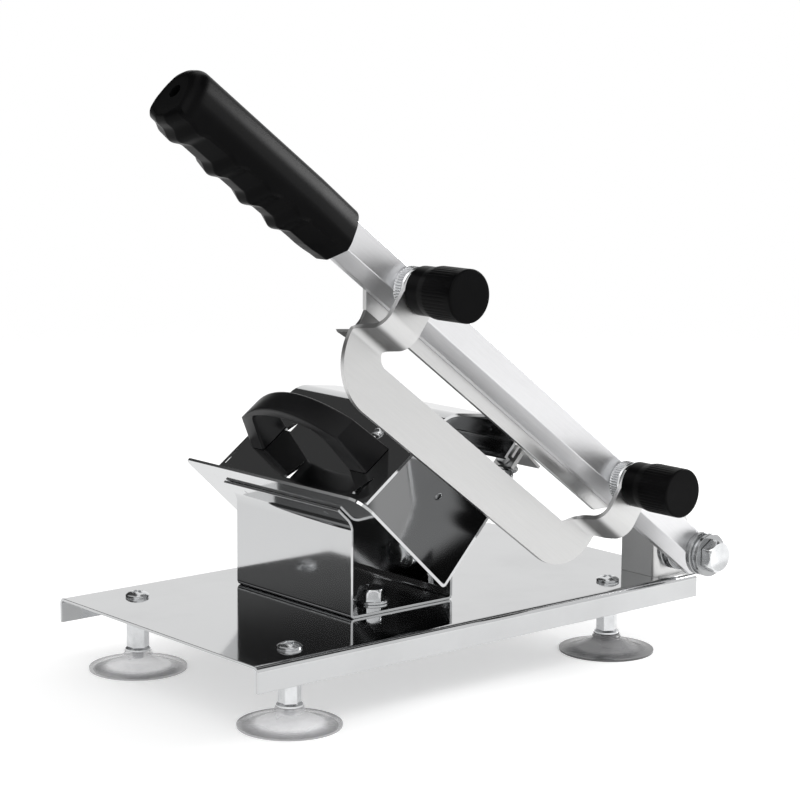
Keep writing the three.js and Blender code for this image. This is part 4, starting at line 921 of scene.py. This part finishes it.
class SLICER_OT_knobs(bpy.types.Operator):
    """Knobs and collars: turned profiles. The knob's barrel has fine flutes and the collar a straight
    knurl; both take a little off the radius by a wave of the angle"""
    bl_idname = "slicer.knobs"
    bl_label = "Knobs and collars"

    def execute(self, context):
        size = context.scene.slicer_grips
        for end, up in STUDS.items():
            self.knob(end, up, size.knob_radius, size.knob_length)
            self.collar(end, up, size.collar_radius)
        return {"FINISHED"}

    def knob(self, end, up, radius, long):
        neck, neck_top, barrel_foot, edge, seat = radius - 0.9, 8.2, 13.0, 0.5, -23.0
        flutes, flute_depth = 44, 0.012
        profile = eased([[0, 0.0], [neck - 0.6, 0.0], [neck, 0.6], [neck, neck_top], [radius, barrel_foot],
                         [radius, long - edge], [radius - edge, long], [radius * 0.6, long], [0, long]], 0.6)

        def ripple(angle, r, level):
            on = np.clip((level - 11.5) / 2, 0, 1) * np.clip((long - 3.0 - level) / 1.5, 0, 1)
            groove = np.clip(0.5 - 0.5 * np.cos(angle * flutes), 0, 1) ** 6
            return 1 - on * groove * flute_depth

        points, faces = tube(turned(self.fine(profile, 1.4), flutes * 8, ripple)[1:-1])
        laid = on_lever(along_y(points, -up, 1.0, seat))
        put(f"fluted_knob_{end}", laid, faces, f"knob_{end}", "knob_black", [f"knob_{end}"], sharp=45)

    def collar(self, end, up, radius):
        bore, edge, wide, seat = 4.3, 0.8, 7.0, -13.5
        ridges, ridge_depth = 48, 0.06
        outline = eased([[bore, 0.3], [bore, 0.0], [radius - edge, 0.0], [radius, edge],
                         [radius, wide - edge], [radius - edge, wide], [bore, wide],
                         [bore, wide - 0.3]], 0.25)

        def ripple(angle, r, level):
            on = np.clip((r - radius + 1.0) / 0.8, 0, 1) * np.clip((level - 1.0) / 0.5, 0, 1)
            on = on * np.clip((wide - 1.0 - level) / 0.5, 0, 1)
            return 1 - on * ridge_depth * (0.5 + 0.5 * np.cos(angle * ridges)) ** 1.5

        points, faces = tube(turned(self.fine(outline, 0.6), ridges * 6, ripple), closed=True)
        laid = on_lever(along_y(points, -up, 1.0, seat))
        put(f"knurled_collar_{end}", laid, faces, "lever", "zinc", [f"collar_{end}"], sharp=45)

    def fine(self, profile, step):
        """The same profile with points no further apart than a step."""
        profile = np.asarray(profile, float)
        run = run_along(profile)
        at = np.union1d(run, np.arange(0, run[-1], step))
        return np.stack([np.interp(at, run, profile[:, 0]), np.interp(at, run, profile[:, 1])], -1)


class SLICER_OT_feet(bpy.types.Operator):
    """Feet: a domed screw with a cross recess, a hexagonal leg with a round flange, and a suction cup
    turned from a thin flared profile"""
    bl_idname = "slicer.feet"
    bl_label = "Feet"
    flange_foot = -28.4
    smoky_foot = 2

    def execute(self, context):
        size = context.scene.slicer_feet
        for number in range(1, 5):
            place = box_middle(f"foot_screw_{number}")
            self.leg(number, place, size.leg_flats)
            self.cup(number, place, size.cup_radius, -size.stand_height)
            points, faces = cross_screw(head=6.1, rise=3.1, shank=2.4, depth=14.0, span=6.4, slit=1.4,
                                        recess=1.6)
            put(f"cross_screw_{number}", on_stand(points + place), faces, "stand", "zinc",
                [f"foot_screw_{number}"], sharp=40)
        return {"FINISHED"}

    def leg(self, number, place, flats):
        corner, shank, flange, foot = flats / math.sqrt(3), 2.6, 6.6, self.flange_foot
        profile = np.array([[shank, -32.4], [shank, foot], [flange - 0.4, foot], [flange, foot + 0.3],
                            [flange, foot + 1.1], [flange - 0.4, foot + 1.5], [corner + 0.02, foot + 1.8],
                            [corner, foot + 2.0], [corner, -2.0], [corner, -1.5]])

        def ripple(angle, radius, level):
            return np.where(level > foot + 1.9, hexagon(flats)(angle, radius, level), 1.0)

        points, faces = tube(turned(profile, 96, ripple))
        put(f"hex_leg_{number}", on_stand(points + place), faces, "stand", "zinc", [f"foot_leg_{number}"],
            sharp=25)

    def cup(self, number, place, rim, floor):
        """A dish whose top falls as (1 - t)^1.7 and whose underside falls as 1 - (t / 0.86)^1.5, with
        t the share of the way out, under a ringed neck round the leg's end."""
        neck, bore, lip, sheet, leg_end, top_end = 7.6, 2.9, 0.5, 0.9, -32.7, self.flange_foot
        t = np.linspace(0, 1, 26)
        radius = neck + (rim - neck) * t
        top = floor + 1.0 + 5.6 * (1 - t) ** 1.7
        under = floor + 4.6 * np.clip(1 - (t / 0.86) ** 1.5, 0, 1)
        rings = [[neck - 0.2, floor + 7.0], [neck, -30.6], [neck + 0.1, -30.2], [neck, -29.8],
                 [neck - 0.7, -29.4], [neck - 0.8, -28.9], [neck - 0.5, -28.6], [neck - 0.9, top_end]]
        profile = np.vstack([
            [[0.01, floor + 3.3], [neck * 0.6, floor + 3.25]],
            np.stack([radius, np.minimum(under, top - sheet)], -1)[2:],
            [[rim, floor + lip]],
            np.stack([radius, top], -1)[::-1],
            rings,
            [[bore, top_end], [bore, leg_end], [0.01, leg_end]],
        ])
        points, faces = tube(turned(profile, 96))
        finish = "smoky_vinyl" if number == self.smoky_foot else "clear_vinyl"
        put(f"flared_cup_{number}", on_stand(points + place), faces, "stand", finish,
            [f"suction_cup_{number}"], sharp=60)


def cross_screw(head, rise, shank, depth, span, slit, recess):
    """A domed head, rise * sqrt(1 - 0.85 (r / head)^2), with a cross cut down into it where either
    |x| or |y| is under half the slit and the other under half the span, and a plain shank below."""
    steps, ramp = 144, 0.22
    radii = np.concatenate([np.linspace(0.02, span / 2 + 0.4, 30), np.linspace(span / 2 + 0.6, head, 10)])
    angle = np.arange(steps) * 2 * np.pi / steps
    x, y = radii[:, None] * np.cos(angle), radii[:, None] * np.sin(angle)
    dome = rise * np.sqrt(1 - 0.85 * (radii / head) ** 2)[:, None]
    edge = lambda value, limit: np.clip((limit - np.abs(value)) / ramp + 0.5, 0, 1)
    cut = np.maximum(edge(x, slit / 2) * edge(y, span / 2), edge(y, slit / 2) * edge(x, span / 2))
    boss = np.clip((slit * 1.15 - np.hypot(x, y)) / 0.25 + 0.5, 0, 1)
    top = np.stack([x, y, dome - recess * np.maximum(cut, boss)], -1)
    lower = turned([[head, rise * 0.1], [head - 0.1, 0.0], [shank, 0.0], [shank, -depth + 0.6],
                    [shank - 0.6, -depth]], steps)
    return tube(np.concatenate([top, lower]))


def hex_bolt(flats, tall, shank, end, pitch, face=0.0, face_radius=0.0):
    """A hexagon head standing on Z = 0 with its top corners turned down, over an optional round washer
    face and a threaded shank: the radius rises and falls once for each pitch as the angle goes round."""
    corner, cone, thread_depth = flats / math.sqrt(3), 1.9, 0.09
    top = face + tall
    levels = np.linspace(end, -0.3, int(abs(end) / (pitch / 4)))
    profile = [[shank * 0.7, end]] + [[shank, level] for level in levels]
    if face_radius:
        profile += [[shank, 0.0], [face_radius - 0.3, 0.0], [face_radius, 0.3], [face_radius, face - 0.3],
                    [face_radius - 0.3, face]]
    profile += [[corner, face + 0.01], [corner, face + 0.3]]
    profile += [[corner, top - drop] for drop in (1.6, 1.2, 0.8, 0.4, 0.0)]
    profile += [[corner * 0.8, top], [corner * 0.78, top - 0.12], [0.05, top - 0.12]]
    chamfered = hexagon(flats, top, cone)

    def ripple(angle, radius, level):
        on_head = (level > face) & (radius > corner * 0.99)
        on_shank = (level < -0.1) & (radius > shank * 0.9)
        phase = (level / pitch - angle / (2 * np.pi)) % 1
        thread = 1 - np.where(on_shank, thread_depth * (1 - 2 * np.abs(phase - 0.5)), 0.0)
        return np.where(on_head, chamfered(angle, radius, level), thread)

    return tube(turned(profile, 96, ripple))


def hex_nut(flats, tall, bore):
    """A hexagon ring, both its faces' corners turned down."""
    corner, cone, edge = flats / math.sqrt(3), 1.9, 0.4
    step = np.arange(4) * edge
    profile = np.vstack([
        [[bore, edge], [bore + edge, 0.0], [corner * 0.8, 0.0]],
        np.column_stack([np.full(4, corner), step]),
        np.column_stack([np.full(4, corner), tall - step[::-1]]),
        [[corner * 0.8, tall], [bore + edge, tall], [bore, tall - edge]],
    ])
    low, high = hexagon(flats, 0.0, cone), hexagon(flats, tall, cone)

    def ripple(angle, radius, level):
        outer = radius > corner * 0.99
        return np.where(outer, np.minimum(low(angle, radius, level), high(angle, radius, level)), 1.0)

    return tube(turned(profile, 96, ripple), closed=True)


def ring_washer(radius, hole, thick):
    """A flat ring with eased rims."""
    edge = 0.35
    profile = np.array([[hole, edge], [hole + edge, 0], [radius - edge, 0], [radius, edge],
                        [radius, thick - edge], [radius - edge, thick], [hole + edge, thick],
                        [hole, thick - edge]])
    return tube(turned(profile, 96), closed=True)


def split_washer(radius, hole, thick):
    """A spring washer: a square section carried almost once round, rising a little as it goes."""
    gap, rise, edge = 0.12, 0.5, 0.2
    angle = np.linspace(gap, 2 * np.pi - gap, 90)
    lift = (angle - np.pi) / (2 * np.pi) * rise
    tall = thick / 2 - 0.28
    r, z = np.array([[hole, -tall], [radius - edge, -tall], [radius, edge - tall], [radius, tall - edge],
                     [radius - edge, tall], [hole, tall]]).T
    return tube(np.stack([r * np.cos(angle)[:, None], r * np.sin(angle)[:, None],
                          z + lift[:, None] + thick / 2], -1))


class SLICER_OT_pivot(bpy.types.Operator):
    """Pivot stack along Y: chamfered bolt, flat and split washers in front of the bar and behind it,
    and the nut behind the upright"""
    bl_idname = "slicer.pivot"
    bl_label = "Pivot"
    flats, hole, pitch = 15.5, 5.3, 1.5
    # Each washer's node, kind, finish, radius, seat along Y and thickness. The darker zinc on most of them is
    # painted shade.
    washers = (("front_washer_2", "eased", "zinc", 10.0, -16.6, 2.8),
               ("front_washer_3", "eased", "painted_dark_zinc", 11.5, -13.5, 3.1),
               ("rear_washer_1", "eased", "painted_dark_zinc", 11.5, 1.6, 2.6),
               ("rear_washer_3", "eased", "painted_dark_zinc", 11.5, 6.5, 2.5),
               ("front_washer_1", "split", "painted_dark_zinc", 11.5, -19.4, 2.6),
               ("rear_washer_2", "split", "painted_dark_zinc", 10.0, 4.0, 2.4))

    def execute(self, context):
        bolt = hex_bolt(self.flats, 6.0, shank=5.0, end=-39.5, pitch=self.pitch)
        self.seat("chamfered_pivot_bolt", bolt, -22.0, "zinc", "pivot_bolt")
        for node, kind, finish, radius, seat, thick in self.washers:
            make = ring_washer if kind == "eased" else split_washer
            self.seat(f"{kind}_{node}", make(radius, self.hole, thick), seat, finish, node)
        nut = hex_nut(self.flats, 6.5, self.hole)
        self.seat("chamfered_pivot_nut", nut, 15.5, "zinc", "pivot_nut")
        return {"FINISHED"}

    def seat(self, name, body, y, finish, node):
        points, faces = body
        laid = along_y(points, PIVOT[0], PIVOT[2], STAND_ORIGIN[1] + y)
        put(name, laid, faces, "stand", finish, [node], sharp=35)


class SLICER_OT_rivets(bpy.types.Operator):
    """Trough rivets: a low domed head inside the trough and a flush end under the bracket's flange"""
    bl_idname = "slicer.rivets"
    bl_label = "Trough rivets"

    def execute(self, context):
        up_flange, flush_end, shank = 6.5, -1.9, 1.6
        walls = ((FLANGE_LEFT, LEFT_WAY, RIGHT_WAY), (FLANGE_RIGHT, RIGHT_WAY, LEFT_WAY))
        profile = eased([[0.02, SHEET + 0.6], [1.5, SHEET + 0.5], [2.4, SHEET + 0.05], [shank, SHEET - 0.1],
                         [shank, flush_end], [0.02, flush_end]], 0.4)
        for number in range(1, 5):
            bend, way, out = walls[(number - 1) % 2]
            points, faces = tube(turned(profile, 32))
            foot = TROUGH_FOLD + (bend + up_flange) * way
            along = box_middle(f"trough_rivet_{number}") * [0, 1, 0]
            laid = on_stand(on_slope(points, foot, way, out) + along)
            put(f"flush_rivet_{number}", laid, faces, "stand", "zinc", [f"trough_rivet_{number}"], sharp=40)
        return {"FINISHED"}


class SLICER_OT_fixings(bpy.types.Operator):
    """Bracket bolts and nuts with threads and washer faces, and the small screws of the upright"""
    bl_idname = "slicer.fixings"
    bl_label = "Fixings"

    def execute(self, context):
        flats, nut_tall = 13.0, 6.0
        for number in (1, 2):
            place = box_middle(f"bracket_bolt_{number}")
            bolt = hex_bolt(flats, 5.6, shank=3.9, end=-12.0, pitch=1.25, face=1.6, face_radius=9.4)
            self.stand(f"faced_bolt_{number}", bolt, place, SHEET, f"bracket_bolt_{number}", 35)
            nut = hex_nut(flats, nut_tall, 4.2)
            self.stand(f"base_nut_{number}", nut, place, -SHEET - nut_tall, f"bracket_nut_{number}", 35)
            place = box_middle(f"upright_screw_{number}")
            screw = cross_screw(head=3.9, rise=2.2, shank=1.9, depth=6.5, span=4.0, slit=0.9, recess=1.1)
            self.stand(f"plate_screw_{number}", screw, place, PLATE, f"upright_screw_{number}", 40)
        return {"FINISHED"}

    def stand(self, name, body, place, level, node, sharp):
        points, faces = body
        put(name, on_stand(points + place + [0, 0, level]), faces, "stand", "zinc", [node], sharp=sharp)


class SLICER_OT_guard(bpy.types.Operator):
    """Guard: a flat strip behind the bar, cut level and upright at its ends, and the flap folded back
    from it by 35 degrees. The flap's places are p up the lever from the strip's end and q down it"""
    bl_idname = "slicer.guard"
    bl_label = "Guard strip"
    behind, low, high, start, end = -1.0, -16.5, 6.0, 73.0, 266.0

    def execute(self, context):
        self.plate()
        self.flap()
        return {"FINISHED"}

    def plate(self):
        tall, tilt = self.high - self.low, math.tan(LEVER_ANGLE)
        share = np.linspace(0, 1, 24)
        lower = self.start + (self.end - self.start) * share
        upper = (self.start - tall / tilt) + (self.end - self.start + tall * (tilt + 1 / tilt)) * share
        edge = lambda u, v: np.stack([-u, np.full_like(u, self.behind), np.full_like(u, v)], -1)
        flat = np.stack([edge(lower, self.low), edge(upper, self.high)])
        points, faces = sheet_body(flat, flat + [0, PLATE, 0], np.ones((1, len(share) - 1), bool))
        put("guard_plate", on_lever(points), faces, "lever", "blade_steel", ["guard_strip"], bevel=0.25)

    def flap(self):
        deep_high, deep_low, wide, turn = 17.2, 15.5, 17.0, math.radians(35)
        share = np.linspace(0, 1, 16)
        q = np.stack([deep_high * share, deep_low * share], -1)
        p = np.stack([np.interp(q[:, 0], [0, 6, 12, deep_high], [0, -3.5, -5, 1.2]), -wide - share], -1)
        back, down = self.behind + q * math.sin(turn), self.low - q * math.cos(turn)
        flap = np.stack([-(self.end + p), back, down], -1)
        away = PLATE * np.array([0, math.cos(turn), math.sin(turn)])
        points, faces = sheet_body(flap, flap + away, np.ones((len(share) - 1, 1), bool))
        # the flap takes the darkened steel, a painted shade
        put("guard_flap", on_lever(points), faces, "lever", "painted_dark_steel", bevel=0.2)


class SLICER_OT_upright(bpy.types.Operator):
    """Pivot upright: two walls folded at a corner and carried up Z, their outer top corners rounded,
    on a flat foot plate"""
    bl_idname = "slicer.upright"
    bl_label = "Pivot upright"

    def execute(self, context):
        left, near, wide, deep, tall, bend, corner, lift = 273.7, 6.5, 24.6, 25.5, 34.0, 1.5, 7, 0.05
        corners = [[left, near + deep], [left, near], [left + wide, near]]
        face, normal = folded(corners, PLATE, [bend], steps=12)
        total = run_along(face)[-1]
        arc = corner * quarter(12)
        face, normal, run = stations(face, normal, np.concatenate([arc, total - arc]))
        top = tall - corner_gap(np.minimum(run, run[-1] - run), corner)
        points, faces = bent_sheet((face, normal), np.stack([np.full_like(run, lift), top], -1), thick=PLATE)
        put("folded_upright", on_stand(points[:, [0, 2, 1]]), faces, "stand", "satin_steel",
            ["pivot_upright"], bevel=0.4)
        x, y = np.meshgrid([left + PLATE, left + wide], [near + PLATE, near + deep])
        plate = np.stack([x, y, np.full_like(x, lift)], -1)
        points, faces = sheet_body(plate, plate + [0, 0, PLATE], np.ones((1, 1), bool))
        put("upright_foot", on_stand(points), faces, "stand", "satin_steel", bevel=0.4)
        return {"FINISHED"}


class SLICER_OT_presser_fixings(bpy.types.Operator):
    """The domed rivet on the presser's slope, and the screws whose heads hold the handle from inside"""
    bl_idname = "slicer.presser_fixings"
    bl_label = "Presser fixings"

    def execute(self, context):
        dome = eased([[0.02, 2.2], [1.9, 1.9], [3.2, 1.0], [3.6, 0.0], [1.7, -0.05], [1.7, -2.6],
                      [0.02, -2.6]], 0.5)
        screw = eased([[0.02, 7.0], [1.6, 7.0], [1.6, -1.6], [3.4, -1.6], [3.2, -2.6], [1.8, -3.2],
                       [0.02, -3.2]], 0.4)
        for name, node, profile, s, y in (("domed_rivet", "dome_rivet", dome, 43.7, 33.8),
                                          ("inside_screw_1", "handle_screw_1", screw, 26.5, 25.2),
                                          ("inside_screw_2", "handle_screw_2", screw, 26.5, 102.7)):
            points, faces = tube(turned(profile, 40))
            put(name, on_presser(points + [s, y, 0]), faces, "presser", "zinc", [node], sharp=40)
        return {"FINISHED"}


class SLICER_OT_kept_nodes(bpy.types.Operator):
    """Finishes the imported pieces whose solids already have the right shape, and eases their edges"""
    bl_idname = "slicer.kept_nodes"
    bl_label = "Kept solids"

    def execute(self, context):
        finish_node("lever_bar", "aluminium", 0.25)
        finish_node("guide_shoe", "satin_steel", 0.25)
        for node in ("stud_upper", "stud_lower", "shoe_bolt", "shoe_nut"):
            finish_node(node, "zinc", 0.15)
        return {"FINISHED"}


class SLICER_OT_studio(bpy.types.Operator):
    """Pale floor, soft lights, dark cards that only the polished steel mirrors, and the camera"""
    bl_idname = "slicer.studio"
    bl_label = "Studio"

    def execute(self, context):
        scene = context.scene
        studio = scene.slicer_studio
        self.world(scene)
        self.floor()
        self.dark_cards()
        self.lamp("key_light", (-0.9, -0.9, 1.6), (0.0, 0.0, 0.1), (1.2, 1.2), studio.key_power)
        self.lamp("strip_light", (1.35, -0.4, 0.72), (-0.2, -0.05, 0.3), (0.6, 0.4), studio.strip_power)
        self.camera(scene)
        scene.view_settings.view_transform = "Standard"
        return {"FINISHED"}

    def world(self, scene):
        """White to the camera, to mirrors and through glass; an even pale light to everything else."""
        world = bpy.data.worlds.new("studio_world")
        scene.world = world
        world.use_nodes = True
        tree = world.node_tree
        back = tree.nodes["Background"]
        back.inputs["Color"].default_value = (1.0, 1.0, 1.0, 1.0)
        path = tree.nodes.new("ShaderNodeLightPath")
        seen = Wire(tree, path.outputs["Is Camera Ray"]) + Wire(tree, path.outputs["Is Glossy Ray"])
        seen = (seen + Wire(tree, path.outputs["Is Transmission Ray"])).at_most(1.0)
        sky = scene.slicer_studio.sky
        feed(tree, back.inputs["Strength"], seen * (1.0 - sky) + sky)

    def floor(self):
        """A pale floor that fades out into the white background about a metre from the object."""
        side, fade_start, fade_end, glow = 1.6, 0.6, 1.5, 0.36
        corners = [(-side, -side, 0), (side, -side, 0), (side, side, 0), (-side, side, 0)]
        finish = Finish("pale_floor", roughness=0.6, emission_color=(1.0, 1.0, 1.0), emission_strength=glow)
        grain = finish.noise(2.0, 2.0, 0.5)
        away = finish.node("VectorMath", {"operation": "LENGTH"}, output=1,
                           Vector=finish.node("TexCoord", output=3))
        finish.set(base_color=finish.mix(grain, (0.86, 0.86, 0.86), (0.88, 0.88, 0.88)),
                   alpha=1 - away.step(fade_start, fade_end))
        floor = self.set_down("floor", corners, [(0, 1, 2, 3)], finish)

    def set_down(self, name, points, faces, finish):
        """Makes an object of the studio, from points in metres."""
        mesh = bpy.data.meshes.new(name)
        mesh.from_pydata(points, [], faces)
        mesh.materials.append(finish.material)
        made = bpy.data.objects.new(name, mesh)
        bpy.context.scene.collection.objects.link(made)
        return made

    def card(self, name, points, faces, grey):
        """A card that only mirrors see, glowing by grey(x, y, z) of its object coordinates."""
        black, white = (0.0, 0.0, 0.0), (1.0, 1.0, 1.0)
        finish = Finish(name, roughness=1.0, specular_ior_level=0.0, base_color=black, emission_strength=1.0)
        place = finish.node("TexCoord", output=3)
        x, y, z = (finish.node("SeparateXYZ", output=number, Vector=place) for number in range(3))
        finish.set(emission_color=finish.mix(grey(x, y, z), black, white))
        card = self.set_down(name, np.asarray(points).reshape(-1, 3).tolist(), faces, finish)
        card.visible_camera = card.visible_diffuse = card.visible_shadow = card.visible_transmission = False

    def shell(self, name, azimuth, height, grey):
        """A card that is part of a sphere round the object, by azimuth from +Y towards +X and by height."""
        radius, rows, cols = 2.4, 40, 60
        a, e = np.meshgrid(np.radians(np.linspace(*azimuth, cols)), np.radians(np.linspace(*height, rows)))
        dome = radius * np.stack([np.sin(a) * np.cos(e), np.cos(a) * np.cos(e), np.sin(e)], -1)
        self.card(name, dome, grid_quads(rows, cols).tolist(), grey)

    def dark_cards(self):
        """A dark shell behind the stand, paler below 14 degrees and high on the left; a small one
        overhead; and two cards at the far ends of the presser and of the bracket: painted shade for their
        insides, the presser's card paler high up as a painted reflection."""
        self.shell("back_card", (-105, 24), (2.5, 82),
                   lambda x, y, z: (1 - z.step(0.58, 0.66)) * 0.16 + z.step(0.9, 1.3) * 0.035 + 0.025
                   + (1 - x.step(-0.8, -0.45)) * z.step(0.95, 1.3) * 0.5)
        even = lambda level: lambda x, y, z: x * 0.0 + level
        rising = lambda x, y, z: z.step(0.102, 0.114) * 0.42 + 0.01
        self.shell("overhead_card", (60, 152), (40, 76), even(0.08))
        # painted shade: dark cards closing the presser's tunnel and the bracket's channel, so that mirrors
        # inside them see shade; the tunnel's card glows paler high up as a painted reflection
        inside, shallow, far = 2.0, 3.0, 134.0
        tunnel = [up_left(66, inside), TROUGH_FOLD + inside * (LEFT_WAY + RIGHT_WAY), up_right(66, inside),
                  LIP_TOP, SHOULDER - [0, shallow], RIDGE - [0, shallow], SLOPE_START + [shallow, 0]]
        left, right = BRACKET_LEFT + inside, BRACKET_RIGHT - inside
        channel = [[left, inside], [right, inside], [right, 42], TROUGH_FOLD - [0, 2.5], [left, 46]]
        for name, outline, grey in (("tunnel_shade_card", tunnel, rising), ("channel_shade_card", channel, even(0.03))):
            x, z = np.array(outline, float).T
            flat = on_stand(np.column_stack([x, np.full_like(x, far), z])) * MM
            self.card(name, flat, [tuple(range(len(outline)))], grey)

    def lamp(self, name, place, aim, sides, power):
        lamp = bpy.data.objects.new(name, bpy.data.lights.new(name, "AREA"))
        lamp.data.shape = "RECTANGLE"
        lamp.data.size, lamp.data.size_y = sides
        lamp.data.energy = power
        lamp.location = place
        lamp.rotation_euler = (Vector(aim) - Vector(place)).to_track_quat("-Z", "Y").to_euler()
        bpy.context.scene.collection.objects.link(lamp)

    def camera(self, scene):
        """Looks down its own -Z. Forward is (-sin a cos e, cos a cos e, -sin e), then the view rolls."""
        azimuth, elevation, roll = (math.radians(value) for value in (-40.61, 9.27, 0.45))
        place = (np.array([-588.18, -785.13, 278.25]) + STAND_ORIGIN) * MM
        forward = Vector((-math.sin(azimuth) * math.cos(elevation), math.cos(azimuth) * math.cos(elevation),
                          -math.sin(elevation)))
        right = forward.cross(Vector((0, 0, 1))).normalized()
        up = right.cross(forward)
        level_right = right * math.cos(roll) + up * math.sin(roll)
        level_up = up * math.cos(roll) - right * math.sin(roll)
        camera = bpy.data.objects.new("camera", bpy.data.cameras.new("camera"))
        camera.data.sensor_width = 36.0
        camera.data.lens = 99.0
        camera.data.shift_y = 0.018
        camera.data.clip_end = 50.0
        turn = Matrix((level_right, level_up, -forward)).transposed()
        camera.matrix_world = Matrix.Translation(place) @ turn.to_4x4()
        scene.collection.objects.link(camera)
        scene.camera = camera


STEPS = (SLICER_OT_studio, SLICER_OT_base, SLICER_OT_trough, SLICER_OT_bracket, SLICER_OT_presser,
         SLICER_OT_blade, SLICER_OT_grip, SLICER_OT_arch_handle, SLICER_OT_knobs, SLICER_OT_feet,
         SLICER_OT_guard, SLICER_OT_upright, SLICER_OT_presser_fixings, SLICER_OT_pivot, SLICER_OT_rivets,
         SLICER_OT_fixings, SLICER_OT_kept_nodes)
GROUPS = {"slicer_finishes": SlicerFinishes, "slicer_sheets": SlicerSheets, "slicer_grips": SlicerGrips,
          "slicer_feet": SlicerFeet, "slicer_studio": SlicerStudio}


class SLICER_PT_panel(bpy.types.Panel):
    """Lists the sizes, the finishes and the steps that build the slicer"""
    bl_label = "Frozen Meat Slicer"
    bl_idname = "SLICER_PT_panel"
    bl_space_type = "VIEW_3D"
    bl_region_type = "UI"
    bl_category = "Slicer"

    def draw(self, context):
        for name in GROUPS:
            box = self.layout.box()
            group = getattr(context.scene, name)
            for size in group.bl_rna.properties:
                if size.identifier not in {"rna_type", "name"}:
                    box.prop(group, size.identifier)
        for step in STEPS:
            self.layout.operator(step.bl_idname)


def register():
    for group in GROUPS.values():
        bpy.utils.register_class(group)
    for name, group in GROUPS.items():
        setattr(bpy.types.Scene, name, PointerProperty(type=group))
    for step in STEPS:
        bpy.utils.register_class(step)
    bpy.utils.register_class(SLICER_PT_panel)


def unregister():
    bpy.utils.unregister_class(SLICER_PT_panel)
    for step in reversed(STEPS):
        bpy.utils.unregister_class(step)
    for name, group in GROUPS.items():
        delattr(bpy.types.Scene, name)
        bpy.utils.unregister_class(group)


def main():
    register()
    for step in STEPS:
        folder, name = step.bl_idname.split(".")
        getattr(getattr(bpy.ops, folder), name)()


if __name__ == "__main__":
    main()
